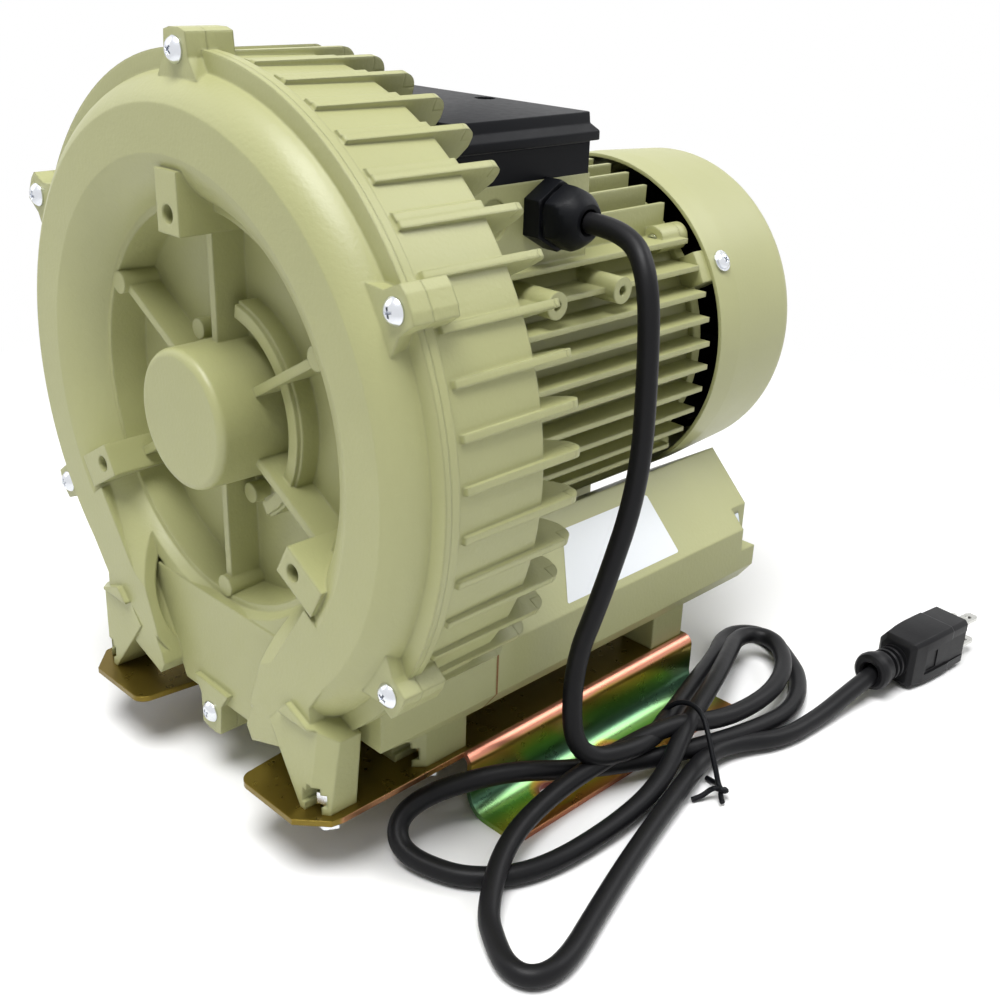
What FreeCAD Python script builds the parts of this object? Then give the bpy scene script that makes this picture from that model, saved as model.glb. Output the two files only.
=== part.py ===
import FreeCAD, Part
import Sketcher
import math
import os

doc = FreeCAD.newDocument("side_channel_blower")
sheet = doc.addObject("Spreadsheet::Sheet", "Sizes")
Vector = FreeCAD.Vector
Rotation = FreeCAD.Rotation


# Driving sizes: each one is a cell of the sheet, in millimetres or degrees
class Size:
    """A number together with the expression that gives it in the sheet."""

    def __init__(self, text, value):
        self.text = text
        self.value = value

    def joined(self, sign, other, value, swapped=False):
        left, right = (text_of(other), self.text) if swapped else (self.text, text_of(other))
        return Size("(" + left + " " + sign + " " + right + ")", value)

    def __add__(self, other):
        return self.joined("+", other, self.value + number(other))

    def __radd__(self, other):
        return self.joined("+", other, number(other) + self.value, True)

    def __sub__(self, other):
        return self.joined("-", other, self.value - number(other))

    def __rsub__(self, other):
        return self.joined("-", other, number(other) - self.value, True)

    def __mul__(self, other):
        return self.joined("*", other, self.value * number(other))

    def __rmul__(self, other):
        return self.joined("*", other, number(other) * self.value, True)

    def __truediv__(self, other):
        return self.joined("/", other, self.value / number(other))

    def __neg__(self):
        return Size("(0 - " + self.text + ")", -self.value)


def number(thing):
    return thing.value if isinstance(thing, Size) else float(thing)


def text_of(thing):
    return thing.text if isinstance(thing, Size) else repr(round(float(thing), 6))


def root(thing):
    return Size("sqrt(" + thing.text + ")", math.sqrt(thing.value))


cell_row = [0]


def size(alias, value):
    cell_row[0] += 1
    cell = "B%d" % cell_row[0]
    sheet.set("A%d" % cell_row[0], alias.replace("_", " "))
    sheet.set(cell, str(value))
    sheet.setAlias(cell, alias)
    return Size("Sizes." + alias, float(value))


def across(angle):
    return math.cos(math.radians(angle))


def up(angle):
    return math.sin(math.radians(angle))


# Overall stance: the shaft runs along Y, its front end at -Y, over the floor at Z = 0
shaft_height = size("shaft_height", 162)

# Cast cover
flange_radius = size("flange_radius", 128.5)
flange_depth = size("flange_depth", 2.5)
flange_band = size("flange_band", 3.5)
bulge_depth = size("bulge_depth", 14.5)
bulge_outer_radius = size("bulge_outer_radius", 111.3)
bulge_inner_radius = size("bulge_inner_radius", 94.6)
bulge_root_radius = size("bulge_root_radius", 121.8)
bowl_bend = size("bowl_bend", 26)
crest_bend = size("crest_bend", 17.7)
recess_radius = size("recess_radius", 78.3)
recess_lip_radius = size("recess_lip_radius", 75.8)
recess_lip_depth = size("recess_lip_depth", 1.1)
web_depth = size("web_depth", 14)
web_thickness = size("web_thickness", 4.5)
hub_radius = size("hub_radius", 26.8)
hub_front = size("hub_front", 16.5)
hub_wall = size("hub_wall", 4.5)
hub_round = size("hub_round", 3)
wall_draft = size("wall_draft", 1.5)

# Impeller chamber and side channels
cavity_radius = size("cavity_radius", 121)
cavity_depth = size("cavity_depth", 32)
channel_inner_radius = size("channel_inner_radius", 83.5)
channel_outer_radius = size("channel_outer_radius", 118.5)
channel_depth = size("channel_depth", 10.3)
running_gap = size("running_gap", 1)

# Cover ribs, lugs and bosses
rib_thickness = size("rib_thickness", 3.5)
lug_hole_radius = size("lug_hole_radius", 3.4)
lug_circle_radius = size("lug_circle_radius", 75)
lug_width = size("lug_width", 13.5)
lug_front = size("lug_front", 15.2)
rim_boss_radius = size("rim_boss_radius", 4.5)
guard_ring_inner = size("guard_ring_inner", 36)
guard_ring_outer = size("guard_ring_outer", 43.5)
guard_ring_height = size("guard_ring_height", 9)
hub_boss_circle = size("hub_boss_circle", 33.5)
hub_boss_radius = size("hub_boss_radius", 4)
hub_boss_height = size("hub_boss_height", 7)

# Ears and their screws
ear_circle_radius = size("ear_circle_radius", 128)
ear_half_width = size("ear_half_width", 6.5)
ear_reach = size("ear_reach", 7)
ear_front = size("ear_front", 8)
ear_rear = size("ear_rear", 10.5)
ear_screw_radius = size("ear_screw_radius", 2.5)
screw_head_radius = size("screw_head_radius", 4.6)
screw_head_height = size("screw_head_height", 3)
screw_clearance = size("screw_clearance", 0.15)

# Casing
casing_radius = size("casing_radius", 126.2)
casing_rear_radius = size("casing_rear_radius", 125.4)
casing_wall = size("casing_wall", 4.2)
casing_rear_y = size("casing_rear_y", 45.6)
shoulder_radius = size("shoulder_radius", 1.5)
back_plate_rear = size("back_plate_rear", 40)
back_plate_radius = size("back_plate_radius", 80)
fin_reach = size("fin_reach", 62.7)
fin_outer_radius = size("fin_outer_radius", 127.7)
fin_corner_radius = size("fin_corner_radius", 5.2)
fin_thickness = size("fin_thickness", 2.8)
fin_foot_half = size("fin_foot_half", 3)
fin_pitch = size("fin_pitch", 7.7)
bearing_housing_radius = size("bearing_housing_radius", 31)

# Ports, legs and feet
port_face_y = size("port_face_y", 62.8)
port_side_x = size("port_side_x", 89)
port_top_z = size("port_top_z", -58)
port_side_top_z = size("port_side_top_z", -87)
port_side_low_z = size("port_side_low_z", -108.5)
port_inner_x = size("port_inner_x", 16)
duct_x = size("duct_x", 58)
duct_z = size("duct_z", -92.5)
duct_radius = size("duct_radius", 15)
rail_height = size("rail_height", 28)
leg_inner_x = size("leg_inner_x", 66)
leg_outer_x = size("leg_outer_x", 79.2)
front_leg_y = size("front_leg_y", -17)
rear_leg_y = size("rear_leg_y", 27)
rear_leg_end_y = size("rear_leg_end_y", 55.5)
bolt_x = size("bolt_x", 73)
front_bolt_y = size("front_bolt_y", -8)
rear_bolt_y = size("rear_bolt_y", 41)

# Mufflers
gasket_thickness = size("gasket_thickness", 1)
muffler_length = size("muffler_length", 174)
muffler_wall = size("muffler_wall", 3.5)
muffler_bottom_z = size("muffler_bottom_z", -118)
muffler_chamfer_x = size("muffler_chamfer_x", 82)
port_thread_radius = size("port_thread_radius", 19.5)
port_end_wall = size("port_end_wall", 16)
seal_ring_radius = size("seal_ring_radius", 25)
seal_ring_thickness = size("seal_ring_thickness", 3)
spigot_radius = size("spigot_radius", 19)
foam_radius = size("foam_radius", 20)
foam_bore_radius = size("foam_bore_radius", 13)

# Rails
rail_thickness = size("rail_thickness", 2.5)
rail_bend_x = size("rail_bend_x", 85)
rail_inner_x = size("rail_inner_x", 27)
rail_inner_front_x = size("rail_inner_front_x", 36)
foot_edge_x = size("foot_edge_x", 114)
rail_front_y = size("rail_front_y", -24)
rail_rear_y = size("rail_rear_y", 196.5)
foot_front_y = size("foot_front_y", 52)
foot_hole_x = size("foot_hole_x", 101.5)
foot_hole_radius = size("foot_hole_radius", 5.5)
foot_front_hole_y = size("foot_front_hole_y", 86)
foot_rear_hole_y = size("foot_rear_hole_y", 126.5)
muffler_bolt_y = size("muffler_bolt_y", 183)
bolt_radius = size("bolt_radius", 3)
bolt_clearance = size("bolt_clearance", 0.3)
hex_corner_radius = size("hex_corner_radius", 5.75)
bolt_head_height = size("bolt_head_height", 4)
washer_radius = size("washer_radius", 6)
washer_thickness = size("washer_thickness", 1.6)
nut_half = size("nut_half", 5.15)
nut_height = size("nut_height", 5)
foot_skin = size("foot_skin", 3.2)

# Motor
barrel_radius = size("barrel_radius", 63)
barrel_bore_radius = size("barrel_bore_radius", 57)
barrel_front_y = size("barrel_front_y", 40)
barrel_rear_y = size("barrel_rear_y", 203.8)
fin_circle_radius = size("fin_circle_radius", 75)
motor_fin_pitch = size("motor_fin_pitch", 10.6)
motor_fin_thickness = size("motor_fin_thickness", 2.2)
pedestal_x = size("pedestal_x", 52)
pedestal_top_z = size("pedestal_top_z", 81.6)
pedestal_low_z = size("pedestal_low_z", 47)
box_front_y = size("box_front_y", 67)
box_rear_y = size("box_rear_y", 143)
box_x = size("box_x", 54)
box_joint_z = size("box_joint_z", 93.5)
box_top_z = size("box_top_z", 105)
box_wall = size("box_wall", 2.5)
gland_y = size("gland_y", 118.1)
gland_z = size("gland_z", 68.6)
gland_thread_radius = size("gland_thread_radius", 8)
gland_hex = size("gland_hex", 13.8)
cord_radius = size("cord_radius", 4.15)
boss_front_y = size("boss_front_y", 108.4)
boss_rear_y = size("boss_rear_y", 146.9)
boss_end_x = size("boss_end_x", 70)
boss_radius = size("boss_radius", 5.5)
boss_hole_radius = size("boss_hole_radius", 2.1)
tie_circle_radius = size("tie_circle_radius", 67.5)
tie_lug_radius = size("tie_lug_radius", 6)
tie_hole_radius = size("tie_hole_radius", 2.5)
shield_thickness = size("shield_thickness", 5.2)
slot_floor_radius = size("slot_floor_radius", 48)
tab_radius = size("tab_radius", 74.78)
cowl_screw_radius = size("cowl_screw_radius", 2)
lid_screw_radius = size("lid_screw_radius", 1.8)
cowl_front_y = size("cowl_front_y", 210.3)
cowl_rear_y = size("cowl_rear_y", 271.6)
cowl_front_radius = size("cowl_front_radius", 76.4)
cowl_rear_radius = size("cowl_rear_radius", 74.4)
cowl_wall = size("cowl_wall", 1.6)
cowl_round = size("cowl_round", 9)
cowl_screw_y = size("cowl_screw_y", 218.3)

# Rotor and bearings
shaft_nose_radius = size("shaft_nose_radius", 6)
shaft_seat_radius = size("shaft_seat_radius", 8.5)
shaft_bearing_radius = size("shaft_bearing_radius", 10)
shaft_core_radius = size("shaft_core_radius", 12.5)
shaft_rear_radius = size("shaft_rear_radius", 7.5)
front_bearing_y = size("front_bearing_y", 42.5)
front_bearing_width = size("front_bearing_width", 14)
front_bearing_radius = size("front_bearing_radius", 23.5)
rear_bearing_y = size("rear_bearing_y", 189)
rear_bearing_width = size("rear_bearing_width", 14)
rear_bearing_radius = size("rear_bearing_radius", 23.5)
seal_radius = size("seal_radius", 16)
seal_depth = size("seal_depth", 7)
core_front_y = size("core_front_y", 92)
core_rear_y = size("core_rear_y", 162)
air_gap = size("air_gap", 0.4)
rotor_radius = size("rotor_radius", 30)
impeller_rim_y = size("impeller_rim_y", 31)
hub_front_y = size("hub_front_y", 5)
shaft_nose_y = size("shaft_nose_y", -9)
key_width = size("key_width", 5)
key_length = size("key_length", 20)
vane_root_radius = size("vane_root_radius", 83)
vane_tip_radius = size("vane_tip_radius", 120)
vane_front_y = size("vane_front_y", 1)
vane_thickness = size("vane_thickness", 2)
vane_count = 36
nut_flats = size("nut_flats", 18)
ball_clearance = 0.1
ball_radius = 3.9
ball_count = 8
race_inner_radius = 13.4
race_outer_radius = 20.4
lip_gap = size("lip_gap", 0.05)
gland_end_x = size("gland_end_x", 75)
fan_front_y = size("fan_front_y", 226)
fan_rear_y = size("fan_rear_y", 256)
fan_radius = size("fan_radius", 66)
seat_gap = size("seat_gap", 0.02)
parting_y = (0 - cowl_rear_y - rail_front_y) / 2

doc.recompute()


# Building blocks: bodies, sketches and the features that every piece is made of
def follow(thing, path, amount):
    if isinstance(amount, Size) or not path.isalpha():
        thing.setExpression(path, text_of(amount))
    else:
        setattr(thing, path, amount)


def new_body(label, height=shaft_height):
    owner = doc.addObject("PartDesign::Body", label)
    owner.Label = label
    owner.AllowCompound = True
    follow(owner, "Placement.Base.y", parting_y)
    follow(owner, "Placement.Base.z", height)
    return owner


def origin_item(owner, role):
    return [item for item in owner.Origin.OriginFeatures if item.Role == role][0]


def add_sketch(owner, plane, points, at=(0, 0, 0), turn=0):
    """Closed outlines: each point is (u, v) or (u, v, r), where r bends the run to the next point."""
    sketch = owner.newObject("Sketcher::SketchObject", owner.Label + "_outline")
    sketch.AttachmentSupport = (origin_item(owner, plane), "")
    sketch.MapMode = "FlatFace"
    if turn:
        sketch.AttachmentOffset = FreeCAD.Placement(Vector(), Rotation(Vector(0, 0, 1), turn))
    for axis, amount in zip("xyz", at):
        follow(sketch, "AttachmentOffset.Base." + axis, amount)
    for outline in (points if isinstance(points[0], list) else [points]):
        draw_outline(sketch, outline)
    return sketch


def draw_outline(sketch, points):
    corners = [Vector(number(point[0]), number(point[1]), 0) for point in points]
    count = len(points)
    base = sketch.GeometryCount
    shapes = []
    starts = []
    bends = []
    for index, point in enumerate(points):
        first = corners[index]
        last = corners[(index + 1) % count]
        if len(point) == 3:
            bend = number(point[2])
            chord = last - first
            side = Vector(-chord.y, chord.x, 0).normalize()
            rise = abs(bend) - math.sqrt(max(bend * bend - chord.Length ** 2 / 4, 0))
            middle = (first + last) * 0.5 + side * (rise if bend > 0 else -rise)
            shapes.append(Part.Arc(first, middle, last))
            starts.append(1 if chord.cross(middle - first).z < 0 else 2)
            bends.append((base + index, abs(bend), point[2] if bend > 0 else 0 - point[2]))
        else:
            shapes.append(Part.LineSegment(first, last))
            starts.append(1)
    sketch.addGeometry(shapes, False)
    rules = []
    bound = []
    for index, point in enumerate(points):
        after = (index + 1) % count
        rules.append(Sketcher.Constraint("Coincident", base + index, 3 - starts[index],
                                         base + after, starts[after]))
        for kind, amount in (("DistanceX", point[0]), ("DistanceY", point[1])):
            bound.append((len(rules), amount))
            rules.append(Sketcher.Constraint(kind, -1, 1, base + index, starts[index], number(amount)))
    for edge, radius, amount in bends:
        bound.append((len(rules), amount))
        rules.append(Sketcher.Constraint("Radius", edge, radius))
    first_rule = sketch.ConstraintCount
    sketch.addConstraint(rules)
    for index, amount in bound:
        if isinstance(amount, Size):
            follow(sketch, "Constraints[%d]" % (first_rule + index), amount)


def add_circle(owner, plane, centres, radius, at=(0, 0, 0)):
    sketch = owner.newObject("Sketcher::SketchObject", owner.Label + "_circle")
    sketch.AttachmentSupport = (origin_item(owner, plane), "")
    sketch.MapMode = "FlatFace"
    for axis, amount in zip("xyz", at):
        follow(sketch, "AttachmentOffset.Base." + axis, amount)
    for index, centre in enumerate(centres):
        middle = Vector(number(centre[0]), number(centre[1]), 0)
        sketch.addGeometry(Part.Circle(middle, Vector(0, 0, 1), number(radius)), False)
        held = sketch.addConstraint(Sketcher.Constraint("Radius", index, number(radius)))
        if isinstance(radius, Size):
            follow(sketch, "Constraints[%d]" % held, radius)
        for kind, amount in (("DistanceX", centre[0]), ("DistanceY", centre[1])):
            held = sketch.addConstraint(Sketcher.Constraint(kind, -1, 1, index, 3, number(amount)))
            if isinstance(amount, Size):
                follow(sketch, "Constraints[%d]" % held, amount)
    return sketch


def extrude(owner, kind, sketch, length, backward=False):
    feature = owner.newObject("PartDesign::" + kind, owner.Label + "_" + kind.lower())
    feature.Profile = sketch
    feature.Refine = False
    follow(feature, "Length", length)
    feature.Reversed = backward
    sketch.Visibility = False
    return feature


def front_pad(owner, points, start, length, turn=0, kind="Pad"):
    """A prism whose outline is in X and Z, from Y = start rearwards by length."""
    sketch = add_sketch(owner, "XZ_Plane", points, (0, 0, 0 - start), turn)
    return extrude(owner, kind, sketch, length, kind == "Pad")


def top_pad(owner, points, start, length, kind="Pad"):
    """A prism whose outline is in X and Y, from Z = start upwards by length."""
    sketch = add_sketch(owner, "XY_Plane", points, (0, 0, start))
    return extrude(owner, kind, sketch, length, kind == "Pocket")


def side_pad(owner, points, start, length, kind="Pad"):
    """A prism whose outline is in Y and Z, from X = start by length towards +X."""
    sketch = add_sketch(owner, "YZ_Plane", points, (0, 0, start))
    return extrude(owner, kind, sketch, length, kind == "Pocket")


def turned(owner, points, at=(0, 0, 0), kind="Revolution", plane="XY_Plane", axis="V_Axis"):
    """A body of revolution, by default about a line along Y, with points as (radius, Y)."""
    sketch = add_sketch(owner, plane, points, at)
    feature = owner.newObject("PartDesign::" + kind, owner.Label + "_" + kind.lower())
    feature.Profile = sketch
    feature.Refine = False
    feature.ReferenceAxis = (sketch, [axis])
    feature.Angle = 360
    sketch.Visibility = False
    return feature


def round_hole(owner, plane, centre, radius, start, length, kind="Pocket"):
    """Round holes or bosses square to one of the origin planes, from start along the plane's axis."""
    sign = -1 if plane == "XZ_Plane" else 1
    centres = centre if isinstance(centre, list) else [centre]
    sketch = add_circle(owner, plane, centres, radius, (0, 0, sign * start))
    return extrude(owner, kind, sketch, length, (sign < 0) == (kind == "Pad"))


def repeat(owner, features, count, angle=360, backward=False):
    ring = owner.newObject("PartDesign::PolarPattern", owner.Label + "_ring")
    ring.Originals = features
    ring.Refine = False
    ring.Axis = (origin_item(owner, "Y_Axis"), [""])
    ring.Reversed = backward
    follow(ring, "Angle", angle)
    ring.Occurrences = count
    owner.Tip = ring
    return ring


def block(x_low, x_high, z_low, z_high):
    return [(x_low, z_low), (x_high, z_low), (x_high, z_high), (x_low, z_high)]


def arc_bend(run, rise):
    """The radius of an arc that leaves one end level and reaches the other over run and rise."""
    return (run * run + rise * rise) / (2 * rise)


pieces = []


def keep(piece):
    pieces.append(piece)
    return piece


# Front cover: a cast dish with half of the side channel, a recessed web, ribs, lugs and two legs
cover = keep(new_body("front_cover"))
half_channel = (channel_outer_radius - channel_inner_radius) / 2
channel_bend = arc_bend(half_channel, channel_depth)
web_back = web_depth + web_thickness
hub_bore_radius = hub_radius - hub_wall
recess_back_radius = recess_radius + casing_wall / 2
turned(cover, [
    (0, 0 - hub_front),
    (hub_radius - hub_round, 0 - hub_front, 0 - hub_round),
    (hub_radius, hub_round - hub_front),
    (hub_radius + 0.4, web_depth),
    (recess_lip_radius - wall_draft, web_depth),
    (recess_lip_radius, 0 - recess_lip_depth),
    (recess_radius, 0 - recess_lip_depth, 0 - bowl_bend),
    (bulge_inner_radius, 0 - bulge_depth),
    (bulge_outer_radius, 0 - bulge_depth, 0 - crest_bend),
    (bulge_root_radius, 0 - flange_depth),
    (flange_radius, 0 - flange_depth),
    (flange_radius, 0),
    (channel_outer_radius, 0, channel_bend),
    (channel_inner_radius, 0),
    (recess_back_radius, 0),
    (recess_back_radius, web_back),
    (hub_bore_radius, web_back),
    (hub_bore_radius, hub_wall - hub_front),
    (0, hub_wall - hub_front)])
rib = front_pad(cover, block(hub_radius - 1, recess_lip_radius - 1, rib_thickness / -2, rib_thickness / 2),
                recess_lip_depth / 2, web_depth + web_thickness / 2, 90)
repeat(cover, [rib], 6)
lug = side_pad(cover, [
    (0 - lug_front, lug_circle_radius - 7),
    (0 - lug_front, lug_circle_radius + 15),
    (-8.5, lug_circle_radius + 15),
    (-4.5, lug_circle_radius + 11.5),
    (-1.5, lug_circle_radius + 7),
    (-0.5, recess_back_radius - 0.3),
    (web_depth + web_thickness / 2, recess_back_radius - 0.6),
    (web_depth + web_thickness / 2, lug_circle_radius - 7)], lug_width / -2, lug_width)
repeat(cover, [lug], 3)
rim_boss = round_hole(cover, "XZ_Plane", (0, 2 - lug_circle_radius), rim_boss_radius,
                      0 - recess_lip_depth - 0.6, web_depth + web_thickness / 2 + recess_lip_depth, "Pad")
repeat(cover, [rim_boss], 3)
lug_hole = round_hole(cover, "XZ_Plane", (0, lug_circle_radius), lug_hole_radius,
                      0 - lug_front - 1, 16)
repeat(cover, [lug_hole], 3)


def polar(radius, angle):
    return (radius * across(angle), radius * up(angle))


guard_from = -60
guard_to = 80
for shrink, height in ((0, guard_ring_height - 1.5), (1.2, guard_ring_height)):
    outer = guard_ring_outer - shrink
    inner = guard_ring_inner + shrink
    front_pad(cover, [polar(outer, guard_from) + (0 - outer,), polar(outer, guard_to),
                      polar(inner, guard_to) + (inner,), polar(inner, guard_from)],
              web_depth - height, height + web_thickness / 2)
round_hole(cover, "XZ_Plane", [polar(hub_boss_circle, 130), polar(hub_boss_circle, -76)], hub_boss_radius,
           web_depth - hub_boss_height, hub_boss_height + web_thickness / 2, "Pad")
foot_bottom_z = rail_height - shaft_height
duct_outline = [(lug_circle_radius - 5, -50), (49.2, -80.4), (29.3, -116.4), (33.2, -122.8), (53, -116),
                (72, -106), (71, -90), (90, -64)]
leg_outline = [(46, -106), (52, -114), (leg_inner_x + 1, foot_bottom_z), (leg_outer_x, foot_bottom_z),
               (leg_outer_x + 3.3, -101), (60, -92)]
leg_bevel = [(leg_outer_x - 7.2, front_leg_y - 0.1), (leg_outer_x - 7.2, front_leg_y - 4), (94, front_leg_y - 4),
             (94, -1), (leg_outer_x - 0.2, -12.3)]


def mirrored(points):
    """The outline of the other side; a bend belongs to the run that leaves its point."""
    return [(0 - points[index][0], points[index][1]) + tuple(points[index - 1][2:])
            for index in reversed(range(len(points)))]


def sided(points, side):
    return points if side > 0 else mirrored(points)


def mirrored_up(points):
    return [tuple([point[0], 0 - point[1]] + list(point[2:])) for point in reversed(points)]


for outline in (duct_outline, mirrored(duct_outline)):
    front_pad(cover, outline, 0 - bulge_depth, bulge_depth)
for outline in (leg_outline, mirrored(leg_outline)):
    front_pad(cover, outline, front_leg_y, 0 - front_leg_y)
side_pad(cover, [(front_leg_y - 2, foot_bottom_z - 1), (front_leg_y, foot_bottom_z - 1), (0 - bulge_depth, -98),
                 (front_leg_y - 2, -98)], -90, 180, "Pocket")
for outline in (leg_bevel, mirrored(leg_bevel)):
    top_pad(cover, outline, foot_bottom_z - 1, 45, "Pocket")
sump_radius = recess_radius + 1.2
sump_outline = [polar(sump_radius, -128), (-34, -103), (-27, -128), (27, -128), (34, -103),
                polar(sump_radius, -52) + (0 - sump_radius,)]
front_pad(cover, sump_outline, 0 - hub_front - 2, hub_front - 3, 0, "Pocket")
front_pad(cover, [(-50, -78), (-28, -126), (28, -126), (50, -78)], -5.5, 5.5)

# Six screw ears: five on the main circle and one low down between the ducts
low_ear_radius = ear_circle_radius + 6
ear_places = [(ear_circle_radius, angle) for angle in (30, 90, 150, 209.2, -33)] + [(low_ear_radius, -92.6)]
ear_centres = [polar(radius, angle) for radius, angle in ear_places]


def add_ears(owner, start, length):
    for radius, angle in ear_places:
        tip = radius + ear_reach
        front_pad(owner, [(119, -12), (126, 0 - ear_half_width - 0.8), (tip - 1, 0 - ear_half_width), (tip, -3),
                          (tip, 3), (tip - 1, ear_half_width), (126, ear_half_width + 0.8), (119, 12)],
                  start, length, angle)


add_ears(cover, 0 - ear_front, ear_front)
round_hole(cover, "XZ_Plane", ear_centres, ear_screw_radius + screw_clearance, 0 - ear_front - 12, ear_front + 12)
foot_slot = [(bolt_x - bolt_radius - bolt_clearance, foot_bottom_z - 1),
             (bolt_x + bolt_radius + bolt_clearance, foot_bottom_z - 1),
             (bolt_x + bolt_radius + bolt_clearance, foot_bottom_z + foot_skin),
             (bolt_x + nut_half, foot_bottom_z + foot_skin),
             (bolt_x + nut_half, foot_bottom_z + foot_skin + nut_height + 0.5),
             (bolt_x + 3, foot_bottom_z + foot_skin + nut_height + 0.5),
             (bolt_x + 3, foot_bottom_z + foot_skin + nut_height + 3.3),
             (bolt_x - 3, foot_bottom_z + foot_skin + nut_height + 3.3),
             (bolt_x - 3, foot_bottom_z + foot_skin + nut_height + 0.5),
             (bolt_x - nut_half, foot_bottom_z + foot_skin + nut_height + 0.5),
             (bolt_x - nut_half, foot_bottom_z + foot_skin),
             (bolt_x - bolt_radius - bolt_clearance, foot_bottom_z + foot_skin)]
for outline in (foot_slot, mirrored(foot_slot)):
    front_pad(cover, outline, front_leg_y - 2, 2 - front_leg_y, 0, "Pocket")

# Blower casing: the rear half of the ring, with cooling fins, port blocks, feet and the bearing housing
casing = keep(new_body("blower_casing"))
housing_rear_y = front_bearing_y + front_bearing_width
turned(casing, [
    (0, 0),
    (flange_radius, 0),
    (flange_radius, flange_band),
    (casing_radius, flange_band + 1),
    (casing_rear_radius, casing_rear_y - shoulder_radius, shoulder_radius),
    (casing_rear_radius - shoulder_radius, casing_rear_y),
    (back_plate_radius + 7, casing_rear_y),
    (back_plate_radius, back_plate_rear),
    (barrel_bore_radius - 0.1, back_plate_rear),
    (barrel_bore_radius - 0.1, back_plate_rear + 5),
    (bearing_housing_radius + 2, back_plate_rear + 5),
    (bearing_housing_radius, housing_rear_y),
    (0, housing_rear_y)])
fin_corner_x = fin_outer_radius - fin_corner_radius
fin_profile = [
    (cavity_radius + 1, 5),
    (fin_outer_radius, 7.5),
    (fin_outer_radius, fin_reach - fin_corner_radius, fin_corner_radius),
    (fin_corner_x, fin_reach),
    (fin_corner_x - 3, fin_reach),
    (fin_corner_x - 7, fin_reach - 2),
    (channel_inner_radius + 14, casing_rear_y + 1),
    (channel_inner_radius + 14, casing_rear_y - 2),
    (cavity_radius + 1, casing_rear_y - 8)]
port_outline = [(port_inner_x, muffler_bottom_z), (muffler_chamfer_x, muffler_bottom_z),
                (port_side_x, port_side_low_z), (port_side_x, port_side_top_z),
                (port_side_x - 30, port_side_top_z + 30), (port_inner_x, port_side_top_z + 3)]
muffler_mouth_y = port_face_y + gasket_thickness
rear_foot_outline = [(leg_inner_x - 4, foot_bottom_z), (leg_outer_x + 1, foot_bottom_z),
                     (leg_outer_x + 1, -100), (leg_inner_x - 12, -100)]
rear_foot_bevel = [(leg_outer_x - 6.2, rear_leg_y - 1), (leg_outer_x + 2, rear_leg_y - 1),
                   (leg_outer_x + 2, rear_leg_y + 8.5)]
for outline in (port_outline, mirrored(port_outline)):
    front_pad(casing, outline, 4, port_face_y - 4)
side_pad(casing, [(3, muffler_bottom_z - 1), (54, muffler_bottom_z - 1), (54, muffler_bottom_z),
                  (5, muffler_bottom_z + 9), (3, muffler_bottom_z + 9)], -90, 180, "Pocket")
for outline in (rear_foot_outline, mirrored(rear_foot_outline)):
    front_pad(casing, outline, rear_leg_y, rear_leg_end_y - rear_leg_y)
for outline in (rear_foot_bevel, mirrored(rear_foot_bevel)):
    top_pad(casing, outline, foot_bottom_z - 1, muffler_bottom_z - foot_bottom_z + 1, "Pocket")
front_pad(casing, [(-50, -78), (-30, -126), (30, -126), (50, -78)], 0, back_plate_rear)
add_ears(casing, 0, ear_rear)
for outline in (foot_slot, mirrored(foot_slot)):
    front_pad(casing, outline, rear_leg_y - 1, rear_leg_end_y - rear_leg_y + 2, 0, "Pocket")
turned(casing, [
    (0, -1),
    (cavity_radius, -1),
    (cavity_radius, cavity_depth),
    (channel_outer_radius, cavity_depth, 0 - channel_bend),
    (channel_inner_radius, cavity_depth),
    (seal_radius, cavity_depth),
    (seal_radius, cavity_depth + seal_depth),
    (shaft_bearing_radius + running_gap, cavity_depth + seal_depth),
    (shaft_bearing_radius + running_gap, front_bearing_y),
    (front_bearing_radius, front_bearing_y),
    (front_bearing_radius, housing_rear_y + 1),
    (0, housing_rear_y + 1)], kind="Groove")
duct_centres = [(duct_x, duct_z), (0 - duct_x, duct_z)]
spigot_rear_y = port_face_y + gasket_thickness + muffler_wall
round_hole(casing, "XZ_Plane", duct_centres, spigot_radius, port_face_y - 5, spigot_rear_y - port_face_y + 5, "Pad")
round_hole(casing, "XZ_Plane", duct_centres, duct_radius, cavity_depth - 10, port_face_y - cavity_depth + 20)
fin_first_angle = -43
fin_count = 35
fin_sketch = add_sketch(casing, "XY_Plane", fin_profile)
fin_sketch.AttachmentOffset = FreeCAD.Placement(Vector(), Rotation(Vector(0, 1, 0), 0 - fin_first_angle))
fin = extrude(casing, "Pad", fin_sketch, fin_thickness)
fin.Midplane = True
fin_foot = front_pad(casing, [(cavity_radius + 1, 0 - fin_foot_half), (casing_rear_radius - 0.5, 0 - fin_foot_half),
                              (fin_outer_radius - 0.4, fin_thickness / -2), (fin_outer_radius - 0.4, fin_thickness / 2),
                              (casing_rear_radius - 0.5, fin_foot_half), (cavity_radius + 1, fin_foot_half)],
                     7, casing_rear_y - 8.5, 0 - fin_first_angle)
repeat(casing, [fin, fin_foot], fin_count, fin_pitch * (fin_count - 1), True)
round_hole(casing, "XZ_Plane", ear_centres, ear_screw_radius, -1, ear_rear - 1)

# Cover screws: pan heads on the six ears
cover_screws = keep(new_body("cover_screws"))


def screw_outline(shank, head, height, length, seat, direction=1):
    """Half of a pan-head screw: the head stands before the seat and the shank runs behind it."""
    return [(0, seat - direction * height), (head * 0.55, seat - direction * height),
            (head, seat - direction * height * 0.35), (head, seat), (shank, seat),
            (shank, seat + direction * length), (0, seat + direction * length)]


for centre in ear_centres:
    turned(cover_screws, screw_outline(ear_screw_radius - seat_gap, screw_head_radius, screw_head_height,
                                       ear_front + ear_rear - 2, 0 - ear_front), (centre[0], 0, centre[1]))

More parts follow.
